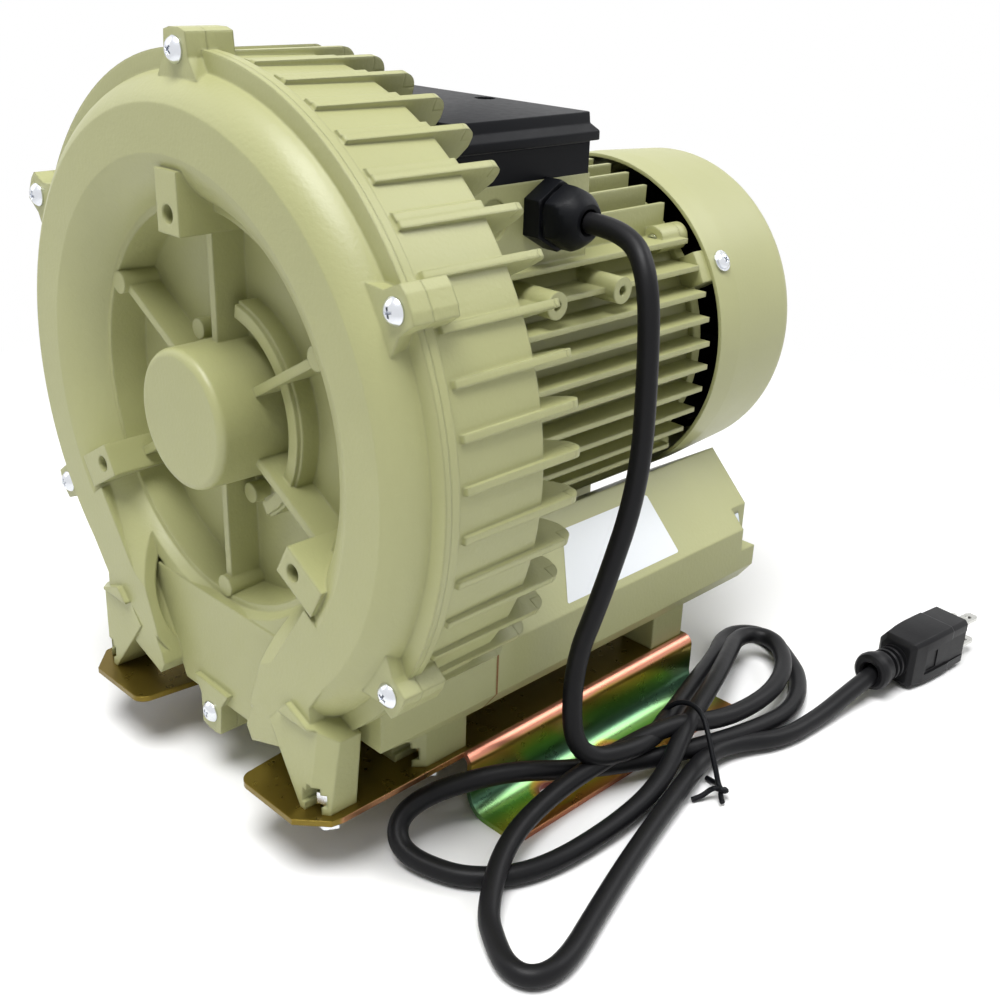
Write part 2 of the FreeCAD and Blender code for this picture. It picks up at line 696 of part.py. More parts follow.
# Motor frame: a finned barrel with the terminal box pedestal and two fixing bosses
motor_frame = keep(new_body("motor_frame"))
turned(motor_frame, [(0, barrel_front_y), (barrel_radius, barrel_front_y), (barrel_radius, barrel_rear_y),
                     (0, barrel_rear_y)])
top_pad(motor_frame, block(0 - pedestal_x, pedestal_x, box_front_y, box_rear_y), pedestal_low_z,
        pedestal_top_z - pedestal_low_z)
boss_z = motor_fin_pitch * 3.5
boss_centres = [(boss_front_y, boss_z), (boss_rear_y, boss_z)]
round_hole(motor_frame, "YZ_Plane", boss_centres, boss_radius, 40, boss_end_x - 40, "Pad")
round_hole(motor_frame, "YZ_Plane", boss_centres, boss_hole_radius, boss_end_x - 10, 12)
tie_centres = [(tie_circle_radius * across(angle), tie_circle_radius * up(angle)) for angle in (45, 135, 225, 315)]
round_hole(motor_frame, "XZ_Plane", tie_centres, tie_lug_radius, barrel_rear_y - 12, 12, "Pad")
round_hole(motor_frame, "XZ_Plane", (0, 0), barrel_bore_radius, barrel_front_y - 1,
           barrel_rear_y - barrel_front_y + 2)
top_pad(motor_frame, block(5 - pedestal_x, pedestal_x - 5, box_front_y + 5, box_rear_y - 5),
        barrel_radius + 2, pedestal_top_z - barrel_radius, "Pocket")
nut_pocket = block(36, pedestal_x - 5, box_front_y + 5, box_rear_y - 5)
for outline in (nut_pocket, mirrored(nut_pocket)):
    top_pad(motor_frame, outline, 56, pedestal_top_z - 57, "Pocket")
round_hole(motor_frame, "YZ_Plane", (gland_y, gland_z), gland_thread_radius + seat_gap, pedestal_x - 8, 10)
round_hole(motor_frame, "YZ_Plane", (gland_y - 28, gland_z), gland_thread_radius, pedestal_x - 2, 4)
fin_start_y = barrel_front_y + 8


def plate_reach(level):
    return root(fin_circle_radius * fin_circle_radius - level * level)


def plate_pair(level, foot):
    """The two halves of one fin plate, each from the barrel wall out to the tip circle."""
    low = level - motor_fin_thickness / 2
    high = level + motor_fin_thickness / 2
    return [(foot, low, plate_reach(level), high), (0 - plate_reach(level), low, 0 - foot, high)]


level_plates = []
upright_plates = []
for step in (0.5, 1.5, 2.5, 3.5, 4.5):
    for side in (1, -1):
        level = motor_fin_pitch * (step * side)
        foot = root((barrel_radius - 2) * (barrel_radius - 2) - level * level)
        for left, low, right, high in plate_pair(level, foot):
            level_plates.append(block(left, right, low, high))
for step in (-4, -3, -2, -1, 0, 1, 2, 3, 4):
    level = motor_fin_pitch * step
    foot = root((barrel_radius - 2) * (barrel_radius - 2) - level * level)
    for left, low, right, high in plate_pair(level, foot):
        if number(left) < 0:
            upright_plates.append(block(low, high, left, right))
front_pad(motor_frame, level_plates, fin_start_y, barrel_rear_y - fin_start_y)
front_pad(motor_frame, upright_plates, fin_start_y, barrel_rear_y - fin_start_y)
for start, end in ((fin_start_y, box_front_y), (box_rear_y, barrel_rear_y)):
    front_pad(motor_frame, [mirrored_up(plate) for plate in upright_plates], start, end - start)
round_hole(motor_frame, "XZ_Plane", tie_centres, tie_hole_radius, barrel_rear_y - 13, 14)


# Stator: the slotted core and its windings
slot_count = 18
stator_core = keep(new_body("stator_core"))
turned(stator_core, [(rotor_radius + air_gap, core_front_y), (barrel_bore_radius - seat_gap, core_front_y),
                     (barrel_bore_radius - seat_gap, core_rear_y), (rotor_radius + air_gap, core_rear_y)])
slot = front_pad(stator_core, [(29, -1.2), (33.5, -1.2), (34.5, -3.5), (slot_floor_radius, -3.5),
                               (slot_floor_radius, 3.5), (34.5, 3.5), (33.5, 1.2), (29, 1.2)],
                 core_front_y - 1, core_rear_y - core_front_y + 2, 0, "Pocket")
repeat(stator_core, [slot], slot_count)
stator_windings = keep(new_body("stator_windings"))
coil_front_y = core_front_y - 14
coil_rear_y = core_rear_y + 14
turned(stator_windings, [(35, coil_front_y), (49, coil_front_y + 2), (49, core_front_y - 1),
                         (35, core_front_y - 1)])
turned(stator_windings, [(35, core_rear_y + 1), (49, core_rear_y + 1), (49, coil_rear_y - 2),
                         (35, coil_rear_y)])
coil_side = front_pad(stator_windings, block(37, slot_floor_radius - seat_gap, -3.4, 3.4), coil_front_y + 8,
                      coil_rear_y - coil_front_y - 16)
repeat(stator_windings, [coil_side], slot_count)

# Rear end shield: a spigoted plate with the rear bearing seat, four lugs and three tabs for the cowl
end_shield = keep(new_body("rear_end_shield"))
shield_rear_y = barrel_rear_y + shield_thickness
bearing_seat_end_y = rear_bearing_y + rear_bearing_width + 2
turned(end_shield, [
    (shaft_core_radius - 3, bearing_seat_end_y),
    (rear_bearing_radius, bearing_seat_end_y),
    (rear_bearing_radius, rear_bearing_y - 1),
    (rear_bearing_radius + 4.5, rear_bearing_y - 1),
    (rear_bearing_radius + 4.5, barrel_rear_y),
    (barrel_bore_radius - 4, barrel_rear_y),
    (barrel_bore_radius - 4, barrel_rear_y - 5),
    (barrel_bore_radius - seat_gap, barrel_rear_y - 5),
    (barrel_bore_radius - seat_gap, barrel_rear_y),
    (barrel_radius + 3, barrel_rear_y),
    (barrel_radius + 3, shield_rear_y),
    (shaft_core_radius - 3, shield_rear_y)])
round_hole(end_shield, "XZ_Plane", tie_centres, tie_lug_radius, barrel_rear_y, shield_thickness, "Pad")
round_hole(end_shield, "XZ_Plane", tie_centres, tie_hole_radius + screw_clearance, barrel_rear_y - 1,
           shield_thickness + 2)
tab_edge = root(tab_radius * tab_radius - 49)
tab = front_pad(end_shield, [(55, -7), (tab_edge, -7, 0 - tab_radius), (tab_edge, 7), (55, 7)], barrel_rear_y,
                cowl_screw_y + 6 - barrel_rear_y, -90)
repeat(end_shield, [tab], 3)
tab_hole = round_hole(end_shield, "XY_Plane", (0, cowl_screw_y), cowl_screw_radius, 0 - tab_radius - 1, 18)
repeat(end_shield, [tab_hole], 3)
motor_tie_bolts = keep(new_body("motor_tie_bolts"))
for centre in tie_centres:
    turned(motor_tie_bolts, screw_outline(tie_hole_radius - seat_gap, screw_head_radius, screw_head_height,
                                          shield_thickness + 12, shield_rear_y, -1), (centre[0], 0, centre[1]))

# Fan cowl with its grille, and the three screws that hold it
cowl = keep(new_body("fan_cowl"))
cowl_bore = cowl_front_radius - cowl_wall
cowl_flat_radius = cowl_rear_radius - cowl_round
cowl_bend_y = cowl_rear_y - cowl_round
turned(cowl, [
    (0, cowl_rear_y - cowl_wall),
    (cowl_flat_radius, cowl_rear_y - cowl_wall, cowl_round - cowl_wall),
    (cowl_rear_radius - cowl_wall, cowl_bend_y),
    (cowl_bore, cowl_screw_y + 6.5),
    (cowl_bore, cowl_front_y),
    (cowl_front_radius, cowl_front_y),
    (cowl_front_radius, cowl_screw_y + 6.5),
    (cowl_rear_radius, cowl_bend_y, 0 - cowl_round),
    (cowl_flat_radius, cowl_rear_y),
    (0, cowl_rear_y)])
grille_slots = front_pad(cowl, [block(20, 39, -1.3, 1.3), block(42, 62, -1.6, 1.6)],
                         cowl_rear_y - cowl_wall - 1, cowl_wall + 2, 0, "Pocket")
repeat(cowl, [grille_slots], 24)
cowl_hole = round_hole(cowl, "XY_Plane", (0, cowl_screw_y), cowl_screw_radius + screw_clearance,
                       0 - cowl_front_radius - 2, 6)
repeat(cowl, [cowl_hole], 3)
cowl_screws = keep(new_body("fan_cowl_screws"))
cowl_screw = turned(cowl_screws, [
    (0, 16 - tab_radius),
    (cowl_screw_radius - seat_gap, 16 - tab_radius),
    (cowl_screw_radius - seat_gap, 0 - cowl_front_radius - 0.1),
    (4.8, 0 - cowl_front_radius - 0.1),
    (4.8, 0 - cowl_front_radius - 1.1),
    (3.8, 0 - cowl_front_radius - 1.1),
    (3.8, 0 - cowl_front_radius - 2.4),
    (2.4, 0 - cowl_front_radius - 3.4),
    (0, 0 - cowl_front_radius - 3.4)], (cowl_screw_y, 0, 0), plane="YZ_Plane")
repeat(cowl_screws, [cowl_screw], 3)

# Terminal box on the pedestal: case, lid, gasket, screws, terminal block and run capacitor
box_floor_z = pedestal_top_z + box_wall
terminal_box = keep(new_body("terminal_box"))
top_pad(terminal_box, block(2 - box_x, box_x - 2, box_front_y + 1, box_rear_y - 1), pedestal_top_z,
        box_joint_z - pedestal_top_z)
top_pad(terminal_box, block(2 - box_x + box_wall, box_x - 2 - box_wall, box_front_y + 1 + box_wall,
                            box_rear_y - 1 - box_wall), box_floor_z, box_joint_z - box_floor_z + 1, "Pocket")
lid_screw_centres = [(0, box_rear_y - 8.2), (0, box_front_y + 8.2)]
round_hole(terminal_box, "XY_Plane", lid_screw_centres, 4.5, box_floor_z - 1, box_joint_z - box_floor_z + 1, "Pad")
round_hole(terminal_box, "XY_Plane", lid_screw_centres, lid_screw_radius, box_floor_z, box_joint_z)
round_hole(terminal_box, "XY_Plane", (30, box_front_y + 20), 9, pedestal_top_z - 1, box_wall + 2)
box_gasket = keep(new_body("terminal_box_gasket"))
top_pad(box_gasket, block(2 - box_x, box_x - 2, box_front_y + 1, box_rear_y - 1), box_joint_z, gasket_thickness)
top_pad(box_gasket, block(2 - box_x + box_wall, box_x - 2 - box_wall, box_front_y + 1 + box_wall,
                          box_rear_y - 1 - box_wall), box_joint_z - 1, gasket_thickness + 2, "Pocket")
lid = keep(new_body("terminal_box_lid"))
lid_low_z = box_joint_z + gasket_thickness
top_pad(lid, block(0 - box_x, box_x, box_front_y, box_rear_y), lid_low_z, box_top_z - lid_low_z)
top_pad(lid, block(-1.5 - box_x, box_x + 1.5, box_front_y - 1.5, box_rear_y + 1.5), lid_low_z, 2.5)
top_pad(lid, block(box_wall - box_x, box_x - box_wall, box_front_y + box_wall, box_rear_y - box_wall),
        lid_low_z - 1, box_top_z - lid_low_z - box_wall + 1, "Pocket")
round_hole(lid, "XY_Plane", lid_screw_centres, 4.5, lid_low_z, box_top_z - lid_low_z - 1, "Pad")
round_hole(lid, "XY_Plane", lid_screw_centres, lid_screw_radius + screw_clearance, lid_low_z - 1, 20)
lid_screws = keep(new_body("lid_screws"))
for centre in lid_screw_centres:
    turned(lid_screws, [
        (0, box_floor_z + 2), (lid_screw_radius - seat_gap, box_floor_z + 2),
        (lid_screw_radius - seat_gap, box_top_z), (4.1, box_top_z), (4.1, box_top_z + 1.2),
        (2.8, box_top_z + 2.4), (0, box_top_z + 2.4)], (centre[0], 0, 0 - centre[1]), plane="XZ_Plane")
terminal_block = keep(new_body("terminal_block"))
top_pad(terminal_block, block(-44, -4, box_front_y + 16, box_front_y + 32), box_floor_z, 12)
top_pad(terminal_block, [block(-41 + step * 13, -32 + step * 13, box_front_y + 18, box_front_y + 30)
                         for step in (0, 1, 2)], box_floor_z + 9, 5, "Pocket")
run_capacitor = keep(new_body("run_capacitor"))
top_pad(run_capacitor, block(-40, 10, box_front_y + 36, box_front_y + 62), box_floor_z, 16)

# Motor shaft, stepped from the threaded nose to the fan seat, with a keyway
shaft = keep(new_body("motor_shaft"))
hub_rear_y = impeller_rim_y
front_bearing_end_y = front_bearing_y + front_bearing_width
turned(shaft, [
    (0, shaft_nose_y),
    (shaft_nose_radius - 1, shaft_nose_y),
    (shaft_nose_radius, shaft_nose_y + 1),
    (shaft_nose_radius, hub_front_y + 0.5),
    (shaft_seat_radius, hub_front_y + 0.5),
    (shaft_seat_radius, hub_rear_y),
    (shaft_bearing_radius, hub_rear_y),
    (shaft_bearing_radius, front_bearing_end_y),
    (shaft_core_radius, front_bearing_end_y),
    (shaft_core_radius, rear_bearing_y),
    (shaft_bearing_radius, rear_bearing_y),
    (shaft_bearing_radius, rear_bearing_y + rear_bearing_width),
    (shaft_rear_radius, rear_bearing_y + rear_bearing_width),
    (shaft_rear_radius, fan_rear_y + 4),
    (shaft_rear_radius - 0.8, fan_rear_y + 5),
    (0, fan_rear_y + 5)])
key_start_y = hub_front_y + 3
key_half = key_width / 2
key_floor_z = shaft_seat_radius - key_width / 2 - 0.5
top_pad(shaft, block(0 - key_half, key_half, key_start_y, key_start_y + key_length), key_floor_z, 6, "Pocket")
turned(shaft, [(shaft_rear_radius - 0.5, fan_rear_y + 0.02), (shaft_rear_radius + 1, fan_rear_y + 0.02),
               (shaft_rear_radius + 1, fan_rear_y + 1.1), (shaft_rear_radius - 0.5, fan_rear_y + 1.1)],
       kind="Groove")
key = keep(new_body("impeller_key"))
top_pad(key, block(seat_gap - key_half, key_half - seat_gap, key_start_y + 0.1, key_start_y + key_length - 0.1),
        key_floor_z, key_width)

# Impeller: a hub and disc that carry a double row of vanes over both half channels
impeller = keep(new_body("impeller"))
turned(impeller, [
    (shaft_seat_radius + seat_gap, hub_front_y),
    (shaft_seat_radius + 11.5, hub_front_y),
    (shaft_seat_radius + 13, 22),
    (vane_root_radius - 2, 22),
    (vane_root_radius - 2, vane_front_y),
    (vane_root_radius + 1, vane_front_y),
    (vane_root_radius + 1, 14),
    (vane_tip_radius - 4, 15),
    (vane_tip_radius - 4, 17),
    (vane_root_radius + 1, 18),
    (vane_root_radius + 1, impeller_rim_y),
    (shaft_seat_radius + seat_gap, impeller_rim_y)])
vane = front_pad(impeller, block(vane_root_radius, vane_tip_radius, vane_thickness / -2, vane_thickness / 2),
                 vane_front_y, impeller_rim_y - vane_front_y)
repeat(impeller, [vane], vane_count)
top_pad(impeller, block(0 - key_half, key_half, hub_front_y - 1, impeller_rim_y + 1), shaft_seat_radius - 1,
        key_floor_z + key_width + seat_gap - shaft_seat_radius + 1, "Pocket")


def hexagon(flats):
    """A hexagon across the given flats, one flat facing up."""
    half = flats / 2
    corner = half / across(30) if not isinstance(half, Size) else half * (1 / across(30))
    return [(corner, 0), (corner * 0.5, half), (corner * -0.5, half), (-corner, 0),
            (corner * -0.5, -half), (corner * 0.5, -half)]


impeller_washer = keep(new_body("impeller_washer"))
washer_front_y = hub_front_y - 2.3
turned(impeller_washer, [(shaft_nose_radius + 0.1, washer_front_y), (13, washer_front_y), (13, hub_front_y),
                         (shaft_nose_radius + 0.1, hub_front_y)])
impeller_nut = keep(new_body("impeller_nut"))
front_pad(impeller_nut, hexagon(nut_flats), washer_front_y - 7.7, 7.7)
round_hole(impeller_nut, "XZ_Plane", (0, 0), shaft_nose_radius + seat_gap, washer_front_y - 9, 10)

# Rotor core on the shaft, between two end rings
rotor_core = keep(new_body("rotor_core"))
turned(rotor_core, [
    (shaft_core_radius + seat_gap, core_front_y - 8),
    (rotor_radius - 6, core_front_y - 8),
    (rotor_radius, core_front_y - 2),
    (rotor_radius, core_rear_y + 2),
    (rotor_radius - 6, core_rear_y + 8),
    (shaft_core_radius + seat_gap, core_rear_y + 8)])

# Cooling fan behind the motor, kept on the shaft by a circlip
cooling_fan = keep(new_body("cooling_fan"))
turned(cooling_fan, [
    (shaft_rear_radius + seat_gap, fan_front_y),
    (15, fan_front_y),
    (15, fan_rear_y - 4),
    (fan_radius, fan_rear_y - 4),
    (fan_radius, fan_rear_y - 2),
    (20, fan_rear_y),
    (shaft_rear_radius + seat_gap, fan_rear_y)])
blade = front_pad(cooling_fan, block(14, fan_radius, -1.1, 1.1), fan_front_y + 2, fan_rear_y - fan_front_y - 4)
repeat(cooling_fan, [blade], 9)
fan_circlip = keep(new_body("fan_circlip"))
turned(fan_circlip, [(shaft_rear_radius - 0.45, fan_rear_y + 0.04), (shaft_rear_radius + 2.4, fan_rear_y + 0.04),
                     (shaft_rear_radius + 2.4, fan_rear_y + 1.04), (shaft_rear_radius - 0.45, fan_rear_y + 1.04)])
top_pad(fan_circlip, block(-2, 2, fan_rear_y - 1, fan_rear_y + 3), 0, 20, "Pocket")


# Ball bearings: two grooved rings, a cage and its balls
def add_bearing(place, start, width, bore, outer, race_inner, race_outer, ball, count):
    pitch = (race_inner + race_outer) / 2
    groove = ball + ball_clearance
    middle = start + width / 2
    inner_half = math.sqrt(groove ** 2 - (pitch - race_inner) ** 2)
    outer_half = math.sqrt(groove ** 2 - (race_outer - pitch) ** 2)
    ring = keep(new_body(place + "_bearing_outer_ring"))
    turned(ring, [(race_outer, start), (outer - seat_gap, start), (outer - seat_gap, start + width),
                  (race_outer, start + width), (race_outer, middle + outer_half, groove),
                  (race_outer, middle - outer_half)])
    ring = keep(new_body(place + "_bearing_inner_ring"))
    turned(ring, [(race_inner, start), (race_inner, middle - inner_half, groove),
                  (race_inner, middle + inner_half), (race_inner, start + width),
                  (bore + seat_gap, start + width), (bore + seat_gap, start)])
    balls = keep(new_body(place + "_bearing_balls"))
    single = turned(balls, [(0, 0 - ball, 0 - ball), (ball, 0, 0 - ball), (0, ball)], (pitch, middle, 0))
    repeat(balls, [single], count)
    cage = keep(new_body(place + "_bearing_cage"))
    rim = ball * 0.28
    turned(cage, [(pitch - rim, middle - ball * 1.35), (pitch + rim, middle - ball * 1.35),
                  (pitch + rim, middle + ball * 1.35), (pitch - rim, middle + ball * 1.35)])
    pocket = round_hole(cage, "YZ_Plane", (middle, 0), ball + seat_gap, pitch - ball, ball * 2)
    repeat(cage, [pocket], count)


for place, start, width, outer in (
        ("front", front_bearing_y, front_bearing_width, front_bearing_radius),
        ("rear", rear_bearing_y, rear_bearing_width, rear_bearing_radius)):
    add_bearing(place, start, width, shaft_bearing_radius, outer, race_inner_radius, race_outer_radius,
                ball_radius, ball_count)
shaft_seal = keep(new_body("shaft_seal"))
turned(shaft_seal, [
    (shaft_bearing_radius + lip_gap, cavity_depth + 1),
    (seal_radius - seat_gap, cavity_depth + 1),
    (seal_radius - seat_gap, cavity_depth + seal_depth),
    (seal_radius - 2, cavity_depth + seal_depth),
    (seal_radius - 2, cavity_depth + 3),
    (shaft_bearing_radius + 1.5, cavity_depth + 3),
    (shaft_bearing_radius + lip_gap, cavity_depth + 5)])
wave_spring = keep(new_body("bearing_wave_spring"))
turned(wave_spring, [
    (rear_bearing_radius - 3, rear_bearing_y + rear_bearing_width + 0.02),
    (rear_bearing_radius - 0.1, rear_bearing_y + rear_bearing_width + 0.02),
    (rear_bearing_radius - 0.1, bearing_seat_end_y - 0.02),
    (rear_bearing_radius - 3, bearing_seat_end_y - 0.02)])

# Cord gland in the side of the pedestal: body, locknut, seal and domed cap nut
gland_axis = (0, gland_y, gland_z)
gland_body = keep(new_body("gland_body"))
side_pad(gland_body, [(gland_y + across(angle) * number(gland_hex), gland_z + up(angle) * number(gland_hex))
                      for angle in (0, 60, 120, 180, 240, 300)], pedestal_x, 8)
turned(gland_body, [
    (pedestal_x - 11, 5), (pedestal_x - 11, gland_thread_radius), (pedestal_x + 1, gland_thread_radius),
    (pedestal_x + 1, 9), (pedestal_x + 7, 9), (pedestal_x + 7, 10), (pedestal_x + 16, 10),
    (pedestal_x + 16, 8), (pedestal_x + 9, 8), (pedestal_x + 9, 5)], gland_axis, axis="H_Axis")
round_hole(gland_body, "YZ_Plane", (gland_y, gland_z), 5, pedestal_x - 12, 25)
gland_locknut = keep(new_body("gland_locknut"))
side_pad(gland_locknut, [(gland_y + across(angle) * 12, gland_z + up(angle) * 12)
                         for angle in (0, 60, 120, 180, 240, 300)], pedestal_x - 10, 5)
round_hole(gland_locknut, "YZ_Plane", (gland_y, gland_z), gland_thread_radius + seat_gap, pedestal_x - 11, 7)
gland_seal = keep(new_body("gland_seal"))
turned(gland_seal, [
    (pedestal_x + 9, cord_radius + seat_gap), (pedestal_x + 9, 8 - seat_gap),
    (pedestal_x + 16, 8 - seat_gap), (pedestal_x + 16, cord_radius + seat_gap)], gland_axis, axis="H_Axis")
gland_cap = keep(new_body("gland_cap_nut"))
turned(gland_cap, [
    (pedestal_x + 8, 10 + seat_gap), (pedestal_x + 8, 12.3), (pedestal_x + 16, 12.3, 7.5),
    (gland_end_x, 7), (gland_end_x, cord_radius + 0.25), (pedestal_x + 16 + seat_gap, cord_radius + 0.25),
    (pedestal_x + 16 + seat_gap, 10 + seat_gap)], gland_axis, axis="H_Axis")

# Mufflers: hollow boxes pushed on the port spigots, each with a threaded port, a seal and a foam liner
muffler_rear_y = muffler_mouth_y + muffler_length
inner_wall_y = muffler_rear_y - port_end_wall
muffler_bore = [(port_inner_x + muffler_wall, muffler_bottom_z + muffler_wall),
                (muffler_chamfer_x - 1.7, muffler_bottom_z + muffler_wall),
                (port_side_x - muffler_wall, port_side_low_z + 1.3),
                (port_side_x - muffler_wall, port_side_top_z - 1.5),
                (port_side_x - 30.4, port_side_top_z + 25.4),
                (port_inner_x + muffler_wall, port_side_top_z + 0.8)]
notch_z = port_side_top_z - 1
notch_outline = block(port_side_x - 8, port_side_x + 1, notch_z - 10.5, notch_z + 9)
muffler_foot = block(bolt_x - 9, bolt_x + 9, rail_height - shaft_height, muffler_bottom_z + 1)
for name, side in (("right_muffler", 1), ("left_muffler", -1)):
    muffler = keep(new_body(name))
    front_pad(muffler, sided(port_outline, side), muffler_mouth_y, muffler_length)
    front_pad(muffler, sided(muffler_foot, side), muffler_bolt_y - 11, 22)
    front_pad(muffler, sided(muffler_bore, side), muffler_mouth_y + muffler_wall,
              inner_wall_y - muffler_mouth_y - muffler_wall, 0, "Pocket")
    front_pad(muffler, sided(block(bolt_x - 7, bolt_x + 7, muffler_bottom_z + 1, muffler_bottom_z + 12), side),
              muffler_bolt_y - 9, 18)
    port_centre = (duct_x * side, duct_z)
    round_hole(muffler, "XZ_Plane", port_centre, spigot_radius + seat_gap, muffler_mouth_y - 1, muffler_wall + 2)
    round_hole(muffler, "XZ_Plane", port_centre, port_thread_radius, inner_wall_y - 1, port_end_wall + 2)
    round_hole(muffler, "XZ_Plane", port_centre, seal_ring_radius, muffler_rear_y - 8, seal_ring_thickness)
    front_pad(muffler, sided(notch_outline, side), muffler_rear_y - 11, 12, 0, "Pocket")
    round_hole(muffler, "XY_Plane", (bolt_x * side, muffler_bolt_y), bolt_radius,
               rail_height - shaft_height - 1, 22)

port_seals = keep(new_body("port_seal_rings"))
for centre in duct_centres:
    turned(port_seals, [
        (port_thread_radius + 0.5, muffler_rear_y - 8 + seat_gap),
        (seal_ring_radius - seat_gap, muffler_rear_y - 8 + seat_gap),
        (seal_ring_radius - seat_gap, muffler_rear_y - 5 - seat_gap),
        (port_thread_radius + 0.5, muffler_rear_y - 5 - seat_gap)], (centre[0], 0, centre[1]))
foam_liners = keep(new_body("muffler_foam_liners"))
for centre in duct_centres:
    turned(foam_liners, [
        (foam_bore_radius, spigot_rear_y + 0.1), (foam_radius, spigot_rear_y + 0.1),
        (foam_radius, muffler_bolt_y - 9.3), (foam_bore_radius, muffler_bolt_y - 9.3)], (centre[0], 0, centre[1]))
muffler_gaskets = keep(new_body("muffler_gaskets"))
front_pad(muffler_gaskets, [port_outline, mirrored(port_outline)], port_face_y, gasket_thickness)
round_hole(muffler_gaskets, "XZ_Plane", duct_centres, spigot_radius + seat_gap, port_face_y - 1,
           gasket_thickness + 2)

# Base rails: pressed plates with a web and an outward foot under the motor end
plate_low_z = rail_height - rail_thickness
web_outer_x = rail_bend_x + rail_thickness
rail_plate = [(rail_inner_front_x + 6, rail_front_y), (rail_bend_x - 14, rail_front_y),
              (rail_bend_x - 3, rail_front_y + 10), (rail_bend_x - 2, rail_front_y + 15),
              (rail_bend_x - 2, rail_rear_y), (rail_inner_x, rail_rear_y), (rail_inner_x, 60),
              (rail_inner_front_x, rail_front_y + 6, -6)]
rail_section = [
    (rail_bend_x - 3, rail_height),
    (web_outer_x - 5, rail_height, 5),
    (web_outer_x, rail_height - 5),
    (web_outer_x, rail_thickness + 8, -8),
    (web_outer_x + 8, rail_thickness),
    (foot_edge_x, rail_thickness),
    (foot_edge_x, 0),
    (web_outer_x + 8, 0, 8 + rail_thickness),
    (rail_bend_x, rail_thickness + 8),
    (rail_bend_x, rail_height - 5, -2.5),
    (web_outer_x - 5, plate_low_z),
    (rail_bend_x - 3, plate_low_z)]
base_bolt_ys = (front_bolt_y, rear_bolt_y, muffler_bolt_y)
for name, side in (("right_rail", 1), ("left_rail", -1)):
    rail = keep(new_body(name, 0))
    top_pad(rail, sided(rail_plate, side), plate_low_z, rail_thickness)
    front_pad(rail, sided(rail_section, side), foot_front_y,
              rail_rear_y - foot_front_y)
    corner = [(foot_edge_x - 6, foot_front_y - 1), (foot_edge_x + 1, foot_front_y - 1),
              (foot_edge_x + 1, foot_front_y + 6)]
    top_pad(rail, sided(corner, side), -1, rail_thickness + 2, "Pocket")
    round_hole(rail, "XY_Plane", [(foot_hole_x * side, foot_front_hole_y), (foot_hole_x * side, foot_rear_hole_y)],
               foot_hole_radius, -1, rail_thickness + 2)
    round_hole(rail, "XY_Plane", [(bolt_x * side, along) for along in base_bolt_ys], bolt_radius + bolt_clearance,
               plate_low_z - 1, rail_thickness + 2)

# Base bolts, washers and nuts: two bolts per rail into the feet and one into the muffler
base_bolts = keep(new_body("base_bolts", 0))
base_washers = keep(new_body("base_washers", 0))
base_nuts = keep(new_body("base_nuts", 0))
washer_low_z = plate_low_z - washer_thickness
nut_low_z = rail_height + foot_skin
base_places = [(bolt_x * side, along) for side in (1, -1) for along in base_bolt_ys]
nut_places = [(bolt_x * side, along) for side in (1, -1) for along in (front_bolt_y, rear_bolt_y)]
round_hole(base_bolts, "XY_Plane", base_places, bolt_radius - seat_gap, washer_low_z - 1,
           nut_height + foot_skin + rail_thickness + washer_thickness + 2, "Pad")
top_pad(base_bolts, [[(place[0] + hex_corner_radius * across(angle), place[1] + hex_corner_radius * up(angle))
                      for angle in (0, 60, 120, 180, 240, 300)] for place in base_places],
        washer_low_z - bolt_head_height, bolt_head_height)
round_hole(base_washers, "XY_Plane", base_places, washer_radius, washer_low_z, washer_thickness, "Pad")
round_hole(base_washers, "XY_Plane", base_places, bolt_radius + 0.3, washer_low_z - 1, washer_thickness + 2)
top_pad(base_nuts, [[(place[0] + hex_corner_radius * across(angle), place[1] + hex_corner_radius * up(angle))
                     for angle in (30, 90, 150, 210, 270, 330)] for place in nut_places], nut_low_z, nut_height)
round_hole(base_nuts, "XY_Plane", nut_places, bolt_radius + seat_gap, nut_low_z - 1, nut_height + 2)


# Power cord: a tube along straight runs joined by tangent arcs
def add_tube(label, points, radius):
    """A tube whose arcs take 0.45 of the shorter run at each corner; places are in the part's own frame."""
    corners = [Vector(*point) for point in points]
    edges = []
    start = corners[0]
    for before, corner, after in zip(corners, corners[1:], corners[2:]):
        arriving = (corner - before).normalize()
        leaving = (after - corner).normalize()
        half_turn = arriving.getAngle(leaving) / 2
        reach = 0.45 * min((corner - before).Length, (after - corner).Length)
        bend = reach / math.tan(half_turn)
        print(label, "bend radius", round(bend, 1), "turn", round(math.degrees(half_turn * 2)))
        first = corner - arriving * reach
        last = corner + leaving * reach
        centre = corner + (leaving - arriving).normalize() * (bend / math.cos(half_turn))
        middle = centre + (corner - centre).normalize() * bend
        edges.append(Part.LineSegment(start, first).toShape())
        edges.append(Part.Arc(first, middle, last).toShape())
        start = last
    edges.append(Part.LineSegment(start, corners[-1]).toShape())
    route = doc.addObject("Part::Feature", label + "_route")
    route.Shape = Part.Wire(edges)
    section = doc.addObject("Part::Circle", label + "_section")
    follow(section, "Radius", radius)
    section.Placement = FreeCAD.Placement(corners[0], Rotation(Vector(0, 0, 1), corners[1] - corners[0]))
    tube = doc.addObject("Part::Sweep", label)
    tube.Sections = [section]
    tube.Spine = (route, [])
    tube.Solid = True
    tube.Frenet = False
    tube.Transition = "Right corner"
    tube.Label = label
    return keep(tube)


